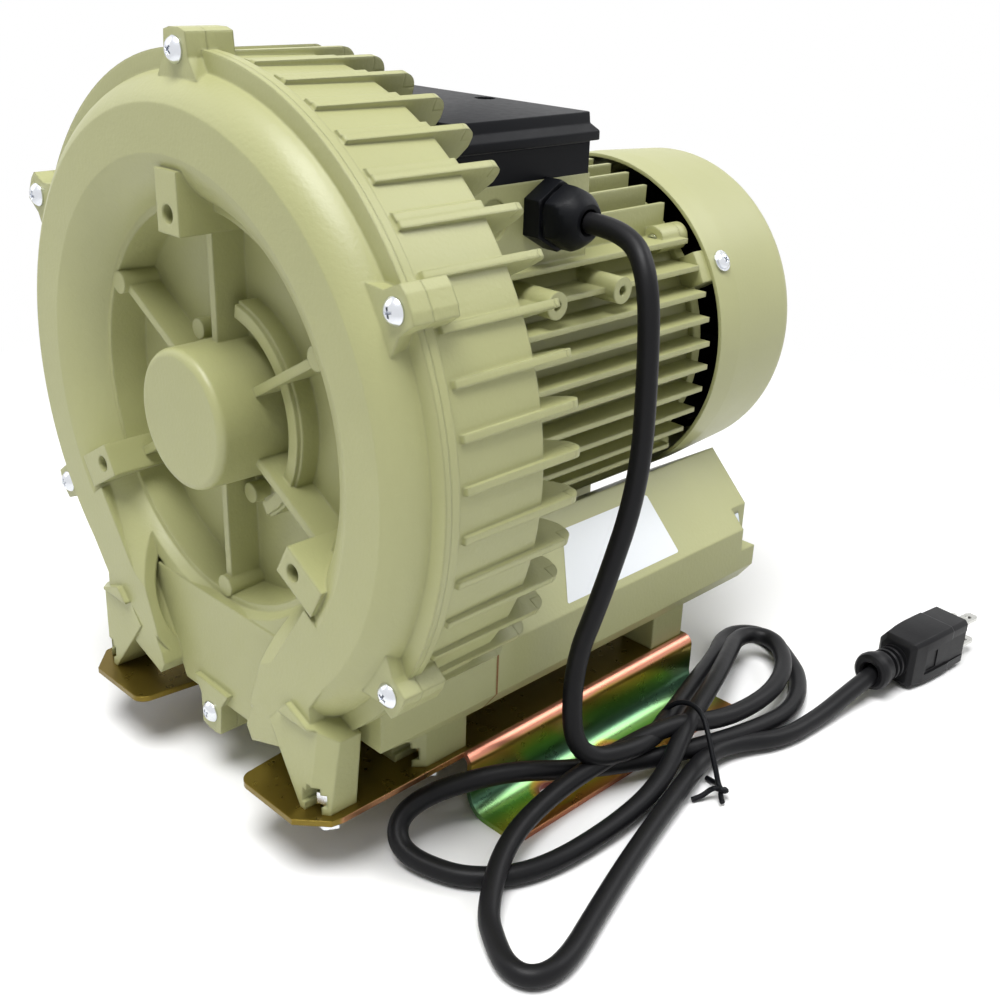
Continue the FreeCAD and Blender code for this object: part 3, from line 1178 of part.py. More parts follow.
exit_point = (number(gland_end_x) + 0.02, number(parting_y + gland_y), number(shaft_height + gland_z))
cord_lead_points = [
    exit_point,
    (94.5, -5.7, 231),
    (111, -13.3, 218),
    (115.5, -15.3, 188),
    (115.5, -14.3, 140),
    (111, -26.3, 95),
    (103, -32.3, 60),
    (112, -38.3, 22)]
add_tube("cord_lead", cord_lead_points, cord_radius)
cord_tail_points = [
    (147, 25.7, 7),
    (150, 63.7, 4.3),
    (149.5, 101.7, 4.2),
    (147.5, 139.7, 8)]
add_tube("cord_tail", cord_tail_points, cord_radius)

# The tied hank of cord, as the closed outer shape of its loops, and its tie
hank = keep(new_body("cord_hank", 0))
hank_offset = number(parting_y)
hank_outline = [(100, 15.7), (96.3, -26.3), (96.3, -72.5), (86, -76.5), (80, -86.3), (88, -104.3), (112, -110.3),
                (135, -108.3), (160, -126.3), (174, -118.3), (170, -91.3), (152, -41.3), (152, 25.7), (142, 25.7),
                (143, 58.7), (141, 93.7), (118, 121.7), (92, 131.7), (80, 123.7), (86, 101.7), (98, 75.7)]
top_pad(hank, [(x, y - hank_offset) for x, y in hank_outline], 2.6, 19.4)
tie = keep(new_body("cord_tie", 0))
top_pad(tie, [(x, y - hank_offset) for x, y in block(96, 142.1, 27.7, 31.7)], 22, 2)

# Plug with its strain relief and two blades
plug = keep(new_body("plug_body", 0))
plug_y = 139.7 - hank_offset
turned(plug, [(cord_radius + 0.9, plug_y), (cord_radius + 2.6, plug_y + 22), (0, plug_y + 22), (0, plug_y)],
       (147.5, 0, 8))
front_pad(plug, [(133.5, 1), (161.5, 1), (161.5, 15), (133.5, 15)], plug_y + 22, 30)
plug_pins = keep(new_body("plug_pins", 0))
front_pad(plug_pins, [block(140.4, 141.9, 4.8, 11.2), block(153.1, 154.6, 4.8, 11.2)], plug_y + 52, 17)

# Checks and export: one STEP file per piece, named after it
doc.recompute()
for item in doc.Objects:
    if "Invalid" in item.State or "Error" in item.State:
        raise RuntimeError(item.Label + " is " + " ".join(item.State))
os.makedirs("parts", exist_ok=True)
for piece in pieces:
    if piece.Shape.isNull() or not piece.Shape.isValid():
        raise RuntimeError(piece.Label + " has no valid shape")
    piece.Shape.exportStep("parts/" + piece.Label + ".step")
    print(piece.Label, len(piece.Shape.Solids), round(piece.Shape.Volume))
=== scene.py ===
import bmesh
import bpy
import math
from mathutils import Matrix, Vector


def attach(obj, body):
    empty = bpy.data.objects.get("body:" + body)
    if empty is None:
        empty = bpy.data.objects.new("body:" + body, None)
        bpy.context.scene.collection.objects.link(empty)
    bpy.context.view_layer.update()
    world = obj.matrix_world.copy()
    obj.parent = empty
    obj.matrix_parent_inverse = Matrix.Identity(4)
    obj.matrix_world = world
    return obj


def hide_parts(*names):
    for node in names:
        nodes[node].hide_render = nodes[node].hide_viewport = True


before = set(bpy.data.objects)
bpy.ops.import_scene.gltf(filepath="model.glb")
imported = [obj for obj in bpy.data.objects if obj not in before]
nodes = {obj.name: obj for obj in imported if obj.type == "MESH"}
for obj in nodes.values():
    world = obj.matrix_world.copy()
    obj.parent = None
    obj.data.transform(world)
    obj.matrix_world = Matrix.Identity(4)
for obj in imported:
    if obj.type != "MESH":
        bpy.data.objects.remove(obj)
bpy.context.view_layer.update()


# Painted aluminium castings: the cover, the blower casing, the motor frame, the end shield and the mufflers.
# They are die cast, so their edges are soft, and are sprayed with one satin coat of sage green paint that
# shows a faint orange peel.
class Amount:
    """A node's output that takes part in sums, so that shader maths reads as an expression."""

    def __init__(self, finish, socket):
        self.finish = finish
        self.socket = socket

    def maths(self, operation, first, second):
        return self.finish.node("Math", {"operation": operation}, {0: first, 1: second})

    def __add__(self, other):
        return self.maths("ADD", self, other)

    def __radd__(self, other):
        return self.maths("ADD", other, self)

    def __sub__(self, other):
        return self.maths("SUBTRACT", self, other)

    def __rsub__(self, other):
        return self.maths("SUBTRACT", other, self)

    def __mul__(self, other):
        return self.maths("MULTIPLY", self, other)

    def __rmul__(self, other):
        return self.maths("MULTIPLY", other, self)


class Finish:
    """A material under construction."""

    def __init__(self, name, colour, roughness, metallic=0.0):
        self.material = bpy.data.materials.new(name)
        self.material.use_nodes = True
        self.tree = self.material.node_tree
        self.shader = self.tree.nodes["Principled BSDF"]
        self.set("Base Color", (*colour, 1.0))
        self.set("Roughness", roughness)
        self.set("Metallic", metallic)
        self.place = self.node("TexCoord", output="Object")

    def feed(self, socket, value):
        if isinstance(value, Amount):
            self.tree.links.new(value.socket, socket)
        else:
            socket.default_value = value

    def set(self, socket, value):
        self.feed(self.shader.inputs[socket], value)

    def node(self, kind, settings=None, sockets=None, output=0):
        made = self.tree.nodes.new("ShaderNode" + kind)
        for name, value in (settings or {}).items():
            if name == "stops":
                while len(made.color_ramp.elements) < len(value):
                    made.color_ramp.elements.new(0.5)
                for stop, (position, colour) in zip(made.color_ramp.elements, value):
                    stop.position = position
                    stop.color = (*colour, 1.0)
            else:
                setattr(made, name, value)
        for name, value in (sockets or {}).items():
            self.feed(made.inputs[name], value)
        return Amount(self, made.outputs[output])

    def noise(self, scale, detail=3.0):
        return self.node("TexNoise", {}, {"Vector": self.place, "Scale": scale, "Detail": detail}, "Fac")

    def ramp(self, factor, low, high):
        return self.node("MapRange", {}, {"Value": factor, "From Min": low, "From Max": high}, "Result")

    def mix(self, factor, first, second):
        return self.node("Mix", {"data_type": "RGBA"}, {"Factor": factor, 6: first, 7: second}, 2)

    def soft_edge(self, radius):
        return self.node("Bevel", {"samples": 4}, {"Radius": radius}, "Normal")

    def bump(self, height, distance, normal=None):
        sockets = {"Height": height, "Distance": distance, "Strength": 1.0}
        if normal:
            sockets["Normal"] = normal
        self.set("Normal", self.node("Bump", {}, sockets, "Normal"))


def painted(name, colour, peel, roundness):
    """A satin sprayed coat: slight drift in its colour and gloss, orange peel, and softened edges."""
    finish = Finish(name, colour, 0.42)
    pale = tuple(part * 1.06 for part in colour) + (1.0,)
    deep = tuple(part * 0.94 for part in colour) + (1.0,)
    finish.set("Base Color", finish.mix(finish.noise(14.0, 2.0), deep, pale))
    finish.set("Roughness", 0.38 + 0.12 * finish.noise(60.0, 4.0))
    finish.set("Coat Weight", 0.10)
    finish.set("Coat Roughness", 0.25)
    finish.bump(finish.noise(650.0, 2.0), peel, finish.soft_edge(roundness))
    return finish


def dress(names, finish):
    for name in names:
        node = nodes[name]
        node.data.materials.clear()
        node.data.materials.append(finish.material)


casting_sage = (0.36, 0.365, 0.17)
casting_paint = painted("casting_paint", casting_sage, 0.00012, 0.0014)
dress(["front_cover", "blower_casing", "motor_frame", "rear_end_shield"], casting_paint)
muffler_sage = (0.365, 0.37, 0.172)
muffler_paint = painted("muffler_paint", muffler_sage, 0.00008, 0.0016)
dress(["left_muffler", "right_muffler"], muffler_paint)

# Fin tips: the rounded rear corners of the 35 cooling fins round the casing, cast with the fins in aluminium.
# Each is a quarter disc of 5.2 mm radius and as thick as its fin, and wears the casing's paint.
parting_y = -0.1238
shaft_z = 0.162
fin_count = 35
fin_pitch = 7.7
first_fin_angle = -43
fin_tip_centre = Vector((0.1225, 0.0575))
fin_tip_radius = 0.0052
fin_half_thickness = 0.001403


def linked(name, mesh, body):
    """A new piece from its bmesh, riding on a body."""
    data = bpy.data.meshes.new(name)
    mesh.to_mesh(data)
    mesh.free()
    piece = bpy.data.objects.new(name, data)
    bpy.context.scene.collection.objects.link(piece)
    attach(piece, body)
    return piece


def around(angle):
    """The cosine and the sine of an angle in degrees."""
    return math.cos(math.radians(angle)), math.sin(math.radians(angle))


rear = Vector((0, 1, 0))
tip_arc = [fin_tip_centre + fin_tip_radius * Vector(around(angle)) for angle in range(0, 91, 10)]
fin_tips = bmesh.new()
for step in range(fin_count):
    along, across = around(fin_pitch * step + first_fin_angle)
    out = Vector((along, 0, across))
    turn = out.cross(rear)
    foot = Vector((0, parting_y, shaft_z)) - turn * fin_half_thickness
    base = fin_tips.faces.new([fin_tips.verts.new(foot + out * point.x + rear * point.y)
                               for point in [fin_tip_centre] + tip_arc])
    drawn = bmesh.ops.extrude_face_region(fin_tips, geom=[base])
    corners = [item for item in drawn["geom"] if isinstance(item, bmesh.types.BMVert)]
    bmesh.ops.translate(fin_tips, verts=corners, vec=turn * 2 * fin_half_thickness)
bmesh.ops.recalc_face_normals(fin_tips, faces=fin_tips.faces[:])
linked("fin_tips", fin_tips, "blower").data.materials.append(casting_paint.material)

# Fan cowl: one deep-drawn steel cup with a slotted rear, pushed over the motor's end and held by three screws.
# It is sprayed in the same sage green, a little paler and smoother than on the castings.
cowl_sage = (0.375, 0.38, 0.182)
dress(["fan_cowl"], painted("cowl_paint", cowl_sage, 0.00004, 0.0008))

# Blank rating plate: a paper-white film stuck on the sloping face of the right muffler, with nothing on it.
# It is 0.1 mm thick with corners rounded to 1.2 mm, and its front end is cut aslant.
plate_corners = [Vector((0.0655, 0.0, 0.0985)), Vector((0.0655, 0.056, 0.0985)),
                 Vector((0.0865, 0.056, 0.0775)), Vector((0.0865, -0.018, 0.0775))]
plate_lift = Vector((0.00012, 0, 0.00012))
plate_corner_radius = 0.0012
plate_thickness = 0.0001
plate_mesh = bmesh.new()
plate_mesh.faces.new([plate_mesh.verts.new(corner + plate_lift) for corner in plate_corners])
bmesh.ops.bevel(plate_mesh, geom=list(plate_mesh.verts), offset=plate_corner_radius, affect="VERTICES",
                segments=4, profile=0.5, material=-1)
plate_mesh.normal_update()
if plate_mesh.faces[:][0].normal.z < 0:
    bmesh.ops.reverse_faces(plate_mesh, faces=plate_mesh.faces[:])
bmesh.ops.solidify(plate_mesh, geom=plate_mesh.faces[:], thickness=plate_thickness)
blank_plate = linked("blank_plate", plate_mesh, "blower")
plate_film = Finish("plate_film", (0.74, 0.77, 0.80), 0.35)
plate_film.set("Roughness", 0.3 + 0.1 * plate_film.noise(90.0))
blank_plate.data.materials.append(plate_film.material)

# Zinc-plated fasteners: six M5 pan-head screws on the cover's ears and three M4 ones on the fan cowl, each
# with a cross recess driven into its domed head, and the plain hexagon bolts, nuts and washers of the base.
zinc = Finish("zinc_plate", (0.72, 0.74, 0.78), 0.22, 1.0)
zinc.set("Roughness", 0.14 + 0.16 * zinc.noise(420.0, 5.0))
zinc.bump(zinc.noise(900.0, 3.0), 0.00003, zinc.soft_edge(0.0003))
dress(["motor_tie_bolts", "impeller_nut", "impeller_washer", "base_bolts", "base_nuts", "base_washers"], zinc)


def turned(profile, steps=40):
    """A closed shape turned about Z from half of its outline, given as (radius, height) in millimetres."""
    mesh = bmesh.new()
    points = [mesh.verts.new((radius / 1000, 0, height / 1000)) for radius, height in profile]
    edges = [mesh.edges.new(pair) for pair in zip(points, points[1:])]
    bmesh.ops.spin(mesh, geom=points + edges, cent=(0, 0, 0), axis=(0, 0, 1), angle=2 * math.pi, steps=steps,
                   use_merge=True, use_duplicate=False)
    bmesh.ops.remove_doubles(mesh, verts=mesh.verts[:], dist=0.000001)
    bmesh.ops.recalc_face_normals(mesh, faces=mesh.faces[:])
    return mesh


def block(size, centre):
    """A box from its size and centre in millimetres."""
    mesh = bmesh.new()
    bmesh.ops.create_cube(mesh, size=0.001)
    bmesh.ops.scale(mesh, verts=mesh.verts[:], vec=size)
    bmesh.ops.translate(mesh, verts=mesh.verts[:], vec=Vector(centre) / 1000)
    return mesh


def prism(outline, low, high):
    """An outline in millimetres, raised along Z from one height to another."""
    mesh = bmesh.new()
    base = mesh.faces.new([mesh.verts.new((x / 1000, y / 1000, low / 1000)) for x, y in outline])
    raised = bmesh.ops.extrude_face_region(mesh, geom=[base])
    corners = [item for item in raised["geom"] if isinstance(item, bmesh.types.BMVert)]
    bmesh.ops.translate(mesh, verts=corners, vec=(0, 0, (high - low) / 1000))
    bmesh.ops.recalc_face_normals(mesh, faces=mesh.faces[:])
    return mesh


def temporary(mesh):
    data = bpy.data.meshes.new("blank")
    mesh.to_mesh(data)
    mesh.free()
    blank = bpy.data.objects.new("blank", data)
    bpy.context.scene.collection.objects.link(blank)
    return blank


def shaped(mesh, tools, operation="DIFFERENCE"):
    """A shape with the tools cut out of it, or cut back to what lies inside them."""
    blanks = [temporary(item) for item in [mesh] + tools]
    for tool in blanks[1:]:
        cut = blanks[0].modifiers.new("shape", "BOOLEAN")
        cut.operation = operation
        cut.solver = "EXACT"
        cut.object = tool
    held = bpy.data.meshes.new_from_object(blanks[0].evaluated_get(bpy.context.evaluated_depsgraph_get()))
    result = bmesh.new()
    result.from_mesh(held)
    for blank in blanks:
        data = blank.data
        bpy.data.objects.remove(blank)
        bpy.data.meshes.remove(data)
    bpy.data.meshes.remove(held)
    bmesh.ops.remove_doubles(result, verts=result.verts[:], dist=0.000002)
    return result


def gather(name, parts, body, slot, finish, *stood_for):
    """One finished piece from several shapes, each with its place."""
    whole = bmesh.new()
    for mesh, place in parts:
        data = bpy.data.meshes.new(name)
        mesh.to_mesh(data)
        data.transform(place)
        whole.from_mesh(data)
        bpy.data.meshes.remove(data)
    for mesh in {id(mesh): mesh for mesh, place in parts}.values():
        mesh.free()
    piece = linked(name, whole, body)
    piece.data.materials.append(finish.material)
    for face in piece.data.polygons:
        face.use_smooth = True
    piece.data.set_sharp_from_angle(angle=math.radians(34))
    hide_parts(*stood_for)
    return piece


def facing(direction, foot, turn=0):
    """The place of a shape made along Z: its foot, its direction and its turn about itself in degrees."""
    lie = Vector(direction).to_track_quat("Z", "Y").to_matrix().to_4x4()
    return Matrix.Translation(foot) @ lie @ Matrix.Rotation(math.radians(turn), 4, "Z")


def pan_head(outline, reach, width):
    """A screw whose domed head has a cross recess of two crossed, tapered slots."""
    top = outline[0][1]
    slots = []
    for turn in (0, 90):
        slot = block((reach * 2, width, 3.4), (0, 0, top))
        low = [corner for corner in slot.verts if corner.co.z < top / 1000]
        bmesh.ops.scale(slot, verts=low, vec=(0.5, 0.55, 1))
        bmesh.ops.rotate(slot, verts=slot.verts[:], matrix=Matrix.Rotation(math.radians(turn), 3, "Z"))
        slots.append(slot)
    return shaped(turned(outline), slots)


cover_screw = pan_head([(0, 3.0), (1.5, 2.95), (2.7, 2.6), (3.7, 1.9), (4.3, 1.1), (4.6, 0.7), (4.6, 0),
                        (2.48, 0), (2.48, -16.5), (0, -16.5)], 2.5, 1.25)
ear_face_y = parting_y - 0.008
ear_places = ((0.128, 30, 12), (0.128, 90, 50), (0.128, 150, 75), (0.128, 209.2, 20), (0.128, -33, 62),
              (0.1318, -92.6, 35))
cover_screw_parts = []
for radius, angle, turn in ear_places:
    along, across = around(angle)
    foot = Vector((radius * along, ear_face_y, shaft_z + radius * across))
    cover_screw_parts.append((cover_screw, facing((0, -1, 0), foot, turn)))
gather("cover_pan_screws", cover_screw_parts, "blower", "zinc_plating", zinc, "cover_screws")
cowl_screw = pan_head([(0, 3.3), (1.3, 3.25), (2.4, 2.9), (3.3, 2.2), (3.8, 1.5), (3.8, 1.0), (4.8, 1.0),
                       (4.8, 0.1), (1.98, 0.1), (1.98, -17.4), (0, -17.4)], 2.3, 1.1)
cowl_radius = 0.0764
cowl_screw_y = parting_y + 0.2183
cowl_screw_parts = []
for angle in (30, 150, -90):
    along, across = around(angle)
    out = Vector((along, 0, across))
    foot = out * cowl_radius + Vector((0, cowl_screw_y, shaft_z))
    cowl_screw_parts.append((cowl_screw, facing(out, foot, 25 + angle)))
gather("cowl_pan_screws", cowl_screw_parts, "blower", "zinc_plating", zinc, "fan_cowl_screws")

# Terminal box: a black moulded case under a lid of 111 x 79 mm whose skirt steps out to a lip over the box.
# The lid is held by two small screws that sit deep in round wells in its top.
black_plastic = Finish("black_moulding", (0.005, 0.0055, 0.007), 0.4)
black_plastic.set("Specular IOR Level", 0.10)
black_plastic.set("Roughness", 0.36 + 0.14 * black_plastic.noise(300.0, 4.0))
black_plastic.bump(black_plastic.noise(1500.0, 2.0), 0.00004, black_plastic.soft_edge(0.0007))
dress(["terminal_box", "gland_locknut", "terminal_block", "run_capacitor", "cooling_fan"], black_plastic)
lid_middle = Vector((0, parting_y + 0.105, shaft_z))
lid_length = 111
lid_width = 79
lid_foot = 94.5
lip_height = 3.6
top_length = 105.4
top_width = 73.4
well_floor = 99.6
well_places = (-29.8, 29.8)


def capped(mesh, direction, rise, shrink=(1, 1)):
    """The top or bottom face, drawn out by a height and shrunk about the middle."""
    mesh.faces.ensure_lookup_table()
    face = max(mesh.faces, key=lambda item: item.calc_center_median().z * direction)
    drawn = bmesh.ops.extrude_face_region(mesh, geom=[face])
    corners = [item for item in drawn["geom"] if isinstance(item, bmesh.types.BMVert)]
    bmesh.ops.delete(mesh, geom=[face], context="FACES_ONLY")
    bmesh.ops.translate(mesh, verts=corners, vec=(0, 0, rise / 1000))
    bmesh.ops.scale(mesh, verts=corners, vec=(*shrink, 1))


lid = block((lid_length, lid_width, lip_height), (0, 0, lid_foot + lip_height / 2))
capped(lid, 1, 2.8, (top_length / lid_length, top_width / lid_width))
capped(lid, 1, 4.1, (0.994, 0.992))
upright = [edge for edge in lid.edges if abs(edge.verts[0].co.z - edge.verts[1].co.z) > 0.001]
bmesh.ops.bevel(lid, geom=upright, offset=0.0016, affect="EDGES", segments=3, profile=0.5, material=-1)
sharp = [edge for edge in lid.edges if edge.calc_face_angle(0) > 0.6]
bmesh.ops.bevel(lid, geom=sharp, offset=0.0004, affect="EDGES", segments=2, profile=0.5, material=-1)
lid_cuts = [block((99, 45, 16), (0, 0, lid_foot))]
for along in well_places:
    well = turned([(0, well_floor), (4.4, well_floor), (4.4, 108), (0, 108)])
    bmesh.ops.translate(well, verts=well.verts[:], vec=(0, along / 1000, 0))
    lid_cuts.append(well)
gather("stepped_lid", [(shaped(lid, lid_cuts), Matrix.Translation(lid_middle))], "blower", "black_plastic",
       black_plastic, "terminal_box_lid")
lid_screw = pan_head([(0, 2.2), (1.5, 2.1), (2.8, 1.5), (3.4, 0.7), (3.4, 0), (1.78, 0), (1.78, -14), (0, -14)],
                     1.8, 0.9)
lid_screw_parts = []
for along, turn in zip(well_places, (20, 65)):
    foot = lid_middle + Vector((0, along / 1000, well_floor / 1000))
    lid_screw_parts.append((lid_screw, facing((0, 0, 1), foot, turn)))
gather("lid_pan_screws", lid_screw_parts, "blower", "zinc_plating", zinc, "lid_screws")

# Cord gland: a hexagonal body screwed into the pedestal, 24 mm across its flats, and a sealing nut whose six
# flats run out into a dome round the cord. Both are black moulded nylon.
gland_foot = Vector((0.052, parting_y + 0.1181, shaft_z + 0.0686))


def hexagon(corner, low, high):
    """A six-sided bar from the radius of its corners, in millimetres."""
    outline = []
    for angle in range(0, 360, 60):
        along, across = around(angle)
        outline.append((corner * across, corner * along))
    return prism(outline, low, high)


gland_crown = turned([(0, -1), (13.2, -1), (14.2, 0.4), (14.2, 7.0), (12.6, 8.6), (0, 8.6)], 64)
gland_hex = shaped(hexagon(13.8, 0, 8.2), [gland_crown], "INTERSECT")
gland_neck = turned([(0, 8.2), (10.4, 8.2), (10.4, 9.2), (0, 9.2)])
gland_thread = turned([(0, -11), (8, -11), (8, 0), (0, 0)])
at_gland = facing((1, 0, 0), gland_foot)
gather("gland_hexagon", [(gland_hex, at_gland), (gland_neck, at_gland), (gland_thread, at_gland)], "blower",
       "black_plastic", black_plastic, "gland_body")
gland_dome = turned([(0, 9.2), (11.9, 9.2), (12.6, 9.9), (12.6, 13.4), (12.2, 15.2), (11.3, 17.2), (10.1, 19.2),
                     (8.9, 20.9), (7.8, 22.2), (6.8, 23.0), (5.2, 23.0), (4.5, 21.6), (4.35, 16), (0, 16)], 64)
gather("gland_dome_nut", [(shaped(hexagon(12.5, 9.1, 23.2), [gland_dome], "INTERSECT"), at_gland)], "blower",
       "black_plastic", black_plastic, "gland_cap_nut")

# Seals and gaskets: matte black rubber, red-brown pressed fibre between the mufflers and their ports, and
# translucent white plastic rings behind the port threads.
seal_rubber = Finish("seal_rubber", (0.02, 0.02, 0.02), 0.75)
seal_rubber.set("Roughness", 0.65 + 0.2 * seal_rubber.noise(200.0))
dress(["terminal_box_gasket", "gland_seal", "shaft_seal"], seal_rubber)
gasket_fibre = Finish("gasket_fibre", (0.20, 0.085, 0.022), 0.8)
fibre_grain = gasket_fibre.noise(700.0, 4.0)
gasket_fibre.set("Base Color", gasket_fibre.mix(fibre_grain, (0.13, 0.055, 0.015, 1), (0.27, 0.13, 0.04, 1)))
dress(["muffler_gaskets"], gasket_fibre)
ring_plastic = Finish("ring_plastic", (0.72, 0.78, 0.84), 0.25)
ring_plastic.set("Roughness", 0.2 + 0.1 * ring_plastic.noise(80.0))
dress(["port_seal_rings"], ring_plastic)

# Base rails: folded steel in yellow zinc passivation, coloured by height across the fold. Brown on the plate is
# the film darkened by painted shade under the muffler, the rose line on the top bend and the pale teal band on
# the lower bend are painted reflections, and green to dark teal down the web and gold and copper at the edges
# are the film's own colours.
rail_top = 0.028
rail_bend_side = 0.085
plate_edge_side = 0.0836
foot_hole_side = 0.1015
foot_holes_y = (-0.0378, 0.0027)
colour_bands_per_metre = 17.8
rail_film = Finish("rail_film", (0.62, 0.5, 0.22), 0.28, 0.85)
side, depth, height = (rail_film.node("SeparateXYZ", {}, {"Vector": rail_film.place}, axis) for axis in "XYZ")
side = rail_film.node("Math", {"operation": "ABSOLUTE"}, {0: side})
past_bend = rail_film.node("Math", {"operation": "MAXIMUM"}, {0: side - rail_bend_side, 1: 0.0})
wander = rail_film.noise(22.0, 3.0)
along_fold = (rail_top - height + past_bend) * colour_bands_per_metre + 0.10 * wander - 0.05
# The rose stops at the top bend and the pale teal stops at 0.47 to 0.55 on the lower bend are painted
# reflections; the other stops are the film's own colours.
film_with_painted_light = rail_film.node("ValToRGB", {"stops": [
    (0.00, (0.62, 0.25, 0.18)), (0.075, (0.66, 0.27, 0.17)), (0.11, (0.40, 0.26, 0.05)),
    (0.19, (0.25, 0.24, 0.035)), (0.27, (0.10, 0.19, 0.035)), (0.37, (0.06, 0.15, 0.07)),
    (0.47, (0.15, 0.33, 0.20)), (0.55, (0.21, 0.40, 0.17)), (0.67, (0.14, 0.29, 0.05)),
    (0.83, (0.24, 0.27, 0.035)), (0.92, (0.42, 0.22, 0.05)), (1.0, (0.50, 0.20, 0.10))]},
    {"Fac": along_fold}, "Color")
# The plate's dark brown is painted shade under the muffler, laid over the film's own olive gold.
plate_brown_in_painted_shade = rail_film.mix(wander, (0.12, 0.085, 0.012, 1), (0.24, 0.17, 0.03, 1))
on_plate = rail_film.ramp(side, plate_edge_side, plate_edge_side - 0.001)
film_with_painted_light = rail_film.mix(on_plate, film_with_painted_light, plate_brown_in_painted_shade)
for hole_y in foot_holes_y:
    across = side - foot_hole_side
    along = depth - hole_y
    apart = rail_film.node("Math", {"operation": "SQRT"}, {0: across * across + along * along})
    rim_colour = rail_film.node("ValToRGB", {"stops": [
        (0.0, (0.20, 0.27, 0.04)), (0.45, (0.42, 0.30, 0.05)), (0.8, (0.42, 0.16, 0.07)),
        (1.0, (0.30, 0.10, 0.08))]}, {"Fac": rail_film.ramp(apart, 0.0105, 0.0060)}, "Color")
    film_with_painted_light = rail_film.mix(rail_film.ramp(apart, 0.0105, 0.0088), film_with_painted_light, rim_colour)
rail_film.set("Base Color", film_with_painted_light)
rail_film.set("Roughness", 0.22 + 0.14 * rail_film.noise(150.0, 4.0))
rail_film.set("Normal", rail_film.soft_edge(0.0006))
dress(["left_rail", "right_rail"], rail_film)


# Running gear and motor parts behind the castings: ground and polished steel, stacked laminations, varnished
# copper wire, an as-cast aluminium impeller, and open-cell foam in the mufflers.
def metal(name, colour, roughness, grain, metallic=1.0):
    """A bare metal whose gloss and surface vary with its grain."""
    finish = Finish(name, colour, roughness, metallic)
    finish.set("Roughness", roughness - 0.08 + 0.16 * finish.noise(grain, 4.0))
    finish.bump(finish.noise(grain * 2.0, 2.0), 0.00004)
    return finish


dress(["motor_shaft", "impeller_key", "fan_circlip", "bearing_wave_spring"],
      metal("ground_steel", (0.56, 0.57, 0.59), 0.3, 300.0))
dress(["front_bearing_outer_ring", "front_bearing_inner_ring", "front_bearing_balls", "front_bearing_cage",
       "rear_bearing_outer_ring", "rear_bearing_inner_ring", "rear_bearing_balls", "rear_bearing_cage"],
      metal("bearing_steel", (0.66, 0.67, 0.69), 0.2, 200.0))
dress(["impeller"], metal("cast_aluminium", (0.6, 0.61, 0.62), 0.5, 120.0))
dress(["stator_core", "rotor_core"], metal("core_laminations", (0.36, 0.37, 0.39), 0.55, 500.0))
dress(["stator_windings"], metal("copper_windings", (0.6, 0.26, 0.12), 0.35, 700.0, 0.7))
foam = Finish("foam", (0.07, 0.07, 0.075), 0.95)
foam.bump(foam.noise(420.0, 5.0), 0.0006)
dress(["muffler_foam_liners"], foam)

# Power cord: one rubber-sheathed three-core lead, 8.3 mm thick and about 1.5 m long, that comes out of the
# gland, droops to the floor, is folded into loops under a twist tie and ends in a moulded plug.
cord_diameter = 0.0083
lead_route = [(75.02, -5.7, 230.6), (94.5, -5.7, 231), (111, -13.3, 218), (115.5, -15.3, 188),
              (115.5, -14.3, 140), (111, -26.3, 95), (103, -32.3, 60), (112, -38.3, 22)]
hank_route = [(122, -4.3, 19), (113, 23.7, 17), (100, 58.7, 13), (87, 95.7, 9), (78, 112, 6), (76, 126, 4.6),
              (84, 135.5, 4.3), (97, 133.5, 4.3), (109, 125.5, 4.3), (124, 113.7, 4.3), (138, 86.7, 5.5),
              (137, 55.7, 8), (128, 21.7, 9), (118, -6.3, 10), (107, -34.3, 14), (99, -58.3, 21),
              (95, -80.3, 25), (87, -96, 21.5), (83, -106.5, 14), (89, -112, 7.6), (101, -110.5, 4.8),
              (120, -102.3, 4.4), (134, -80.3, 4.4), (137, -41.3, 5.5), (134, -6.3, 8), (124, 21.7, 20),
              (112, 58.7, 21), (97, 91.7, 17), (90, 106, 14.2), (90, 117.5, 13.2), (99, 123, 13),
              (109.5, 117.5, 13), (122, 101.7, 13), (130, 75.7, 13.5), (128, 43.7, 14), (120, 15.7, 21),
              (115, -21.3, 18), (114, -54.3, 15), (121, -86.3, 13), (137, -111.3, 6), (150, -119, 4.4),
              (160, -123.5, 4.4), (168.5, -122, 4.4), (172.5, -114, 4.4), (171, -102, 4.4),
              (164.5, -84, 4.4), (153, -49.3, 5), (141, -6.3, 6), (133, 25.7, 7)]
tail_route = [(136, 43.7, 6), (147, 63.7, 4.4), (148.6, 92, 4.3), (149.6, 118, 8.8), (151.6, 141, 13.1)]


def drawn_curve(name, routes, diameter, roundness, smoothness):
    """A round cord or wire along smooth routes, each a row of points in millimetres."""
    curve = bpy.data.curves.new(name, "CURVE")
    curve.dimensions = "3D"
    curve.bevel_depth = diameter / 2
    curve.bevel_resolution = roundness
    curve.resolution_u = smoothness
    curve.use_fill_caps = True
    for route in routes:
        spline = curve.splines.new("NURBS")
        spline.points.add(len(route) - 1)
        for point, place in zip(spline.points, route):
            point.co = (*(Vector(place) / 1000), 1.0)
        spline.order_u = 3
        spline.use_endpoint_u = True
    piece = bpy.data.objects.new(name, curve)
    bpy.context.scene.collection.objects.link(piece)
    return piece


cord = drawn_curve("power_cord", [lead_route + hank_route + tail_route], cord_diameter, 6, 10)
cord_rubber = Finish("cord_rubber", (0.008, 0.008, 0.009), 0.42)
cord_rubber.set("Specular IOR Level", 0.15)
cord_rubber.set("Roughness", 0.34 + 0.14 * cord_rubber.noise(180.0, 4.0))
cord_rubber.bump(cord_rubber.noise(1100.0, 2.0), 0.00004)
cord.data.materials.append(cord_rubber.material)
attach(cord, "blower")
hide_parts("cord_lead", "cord_hank", "cord_tail")

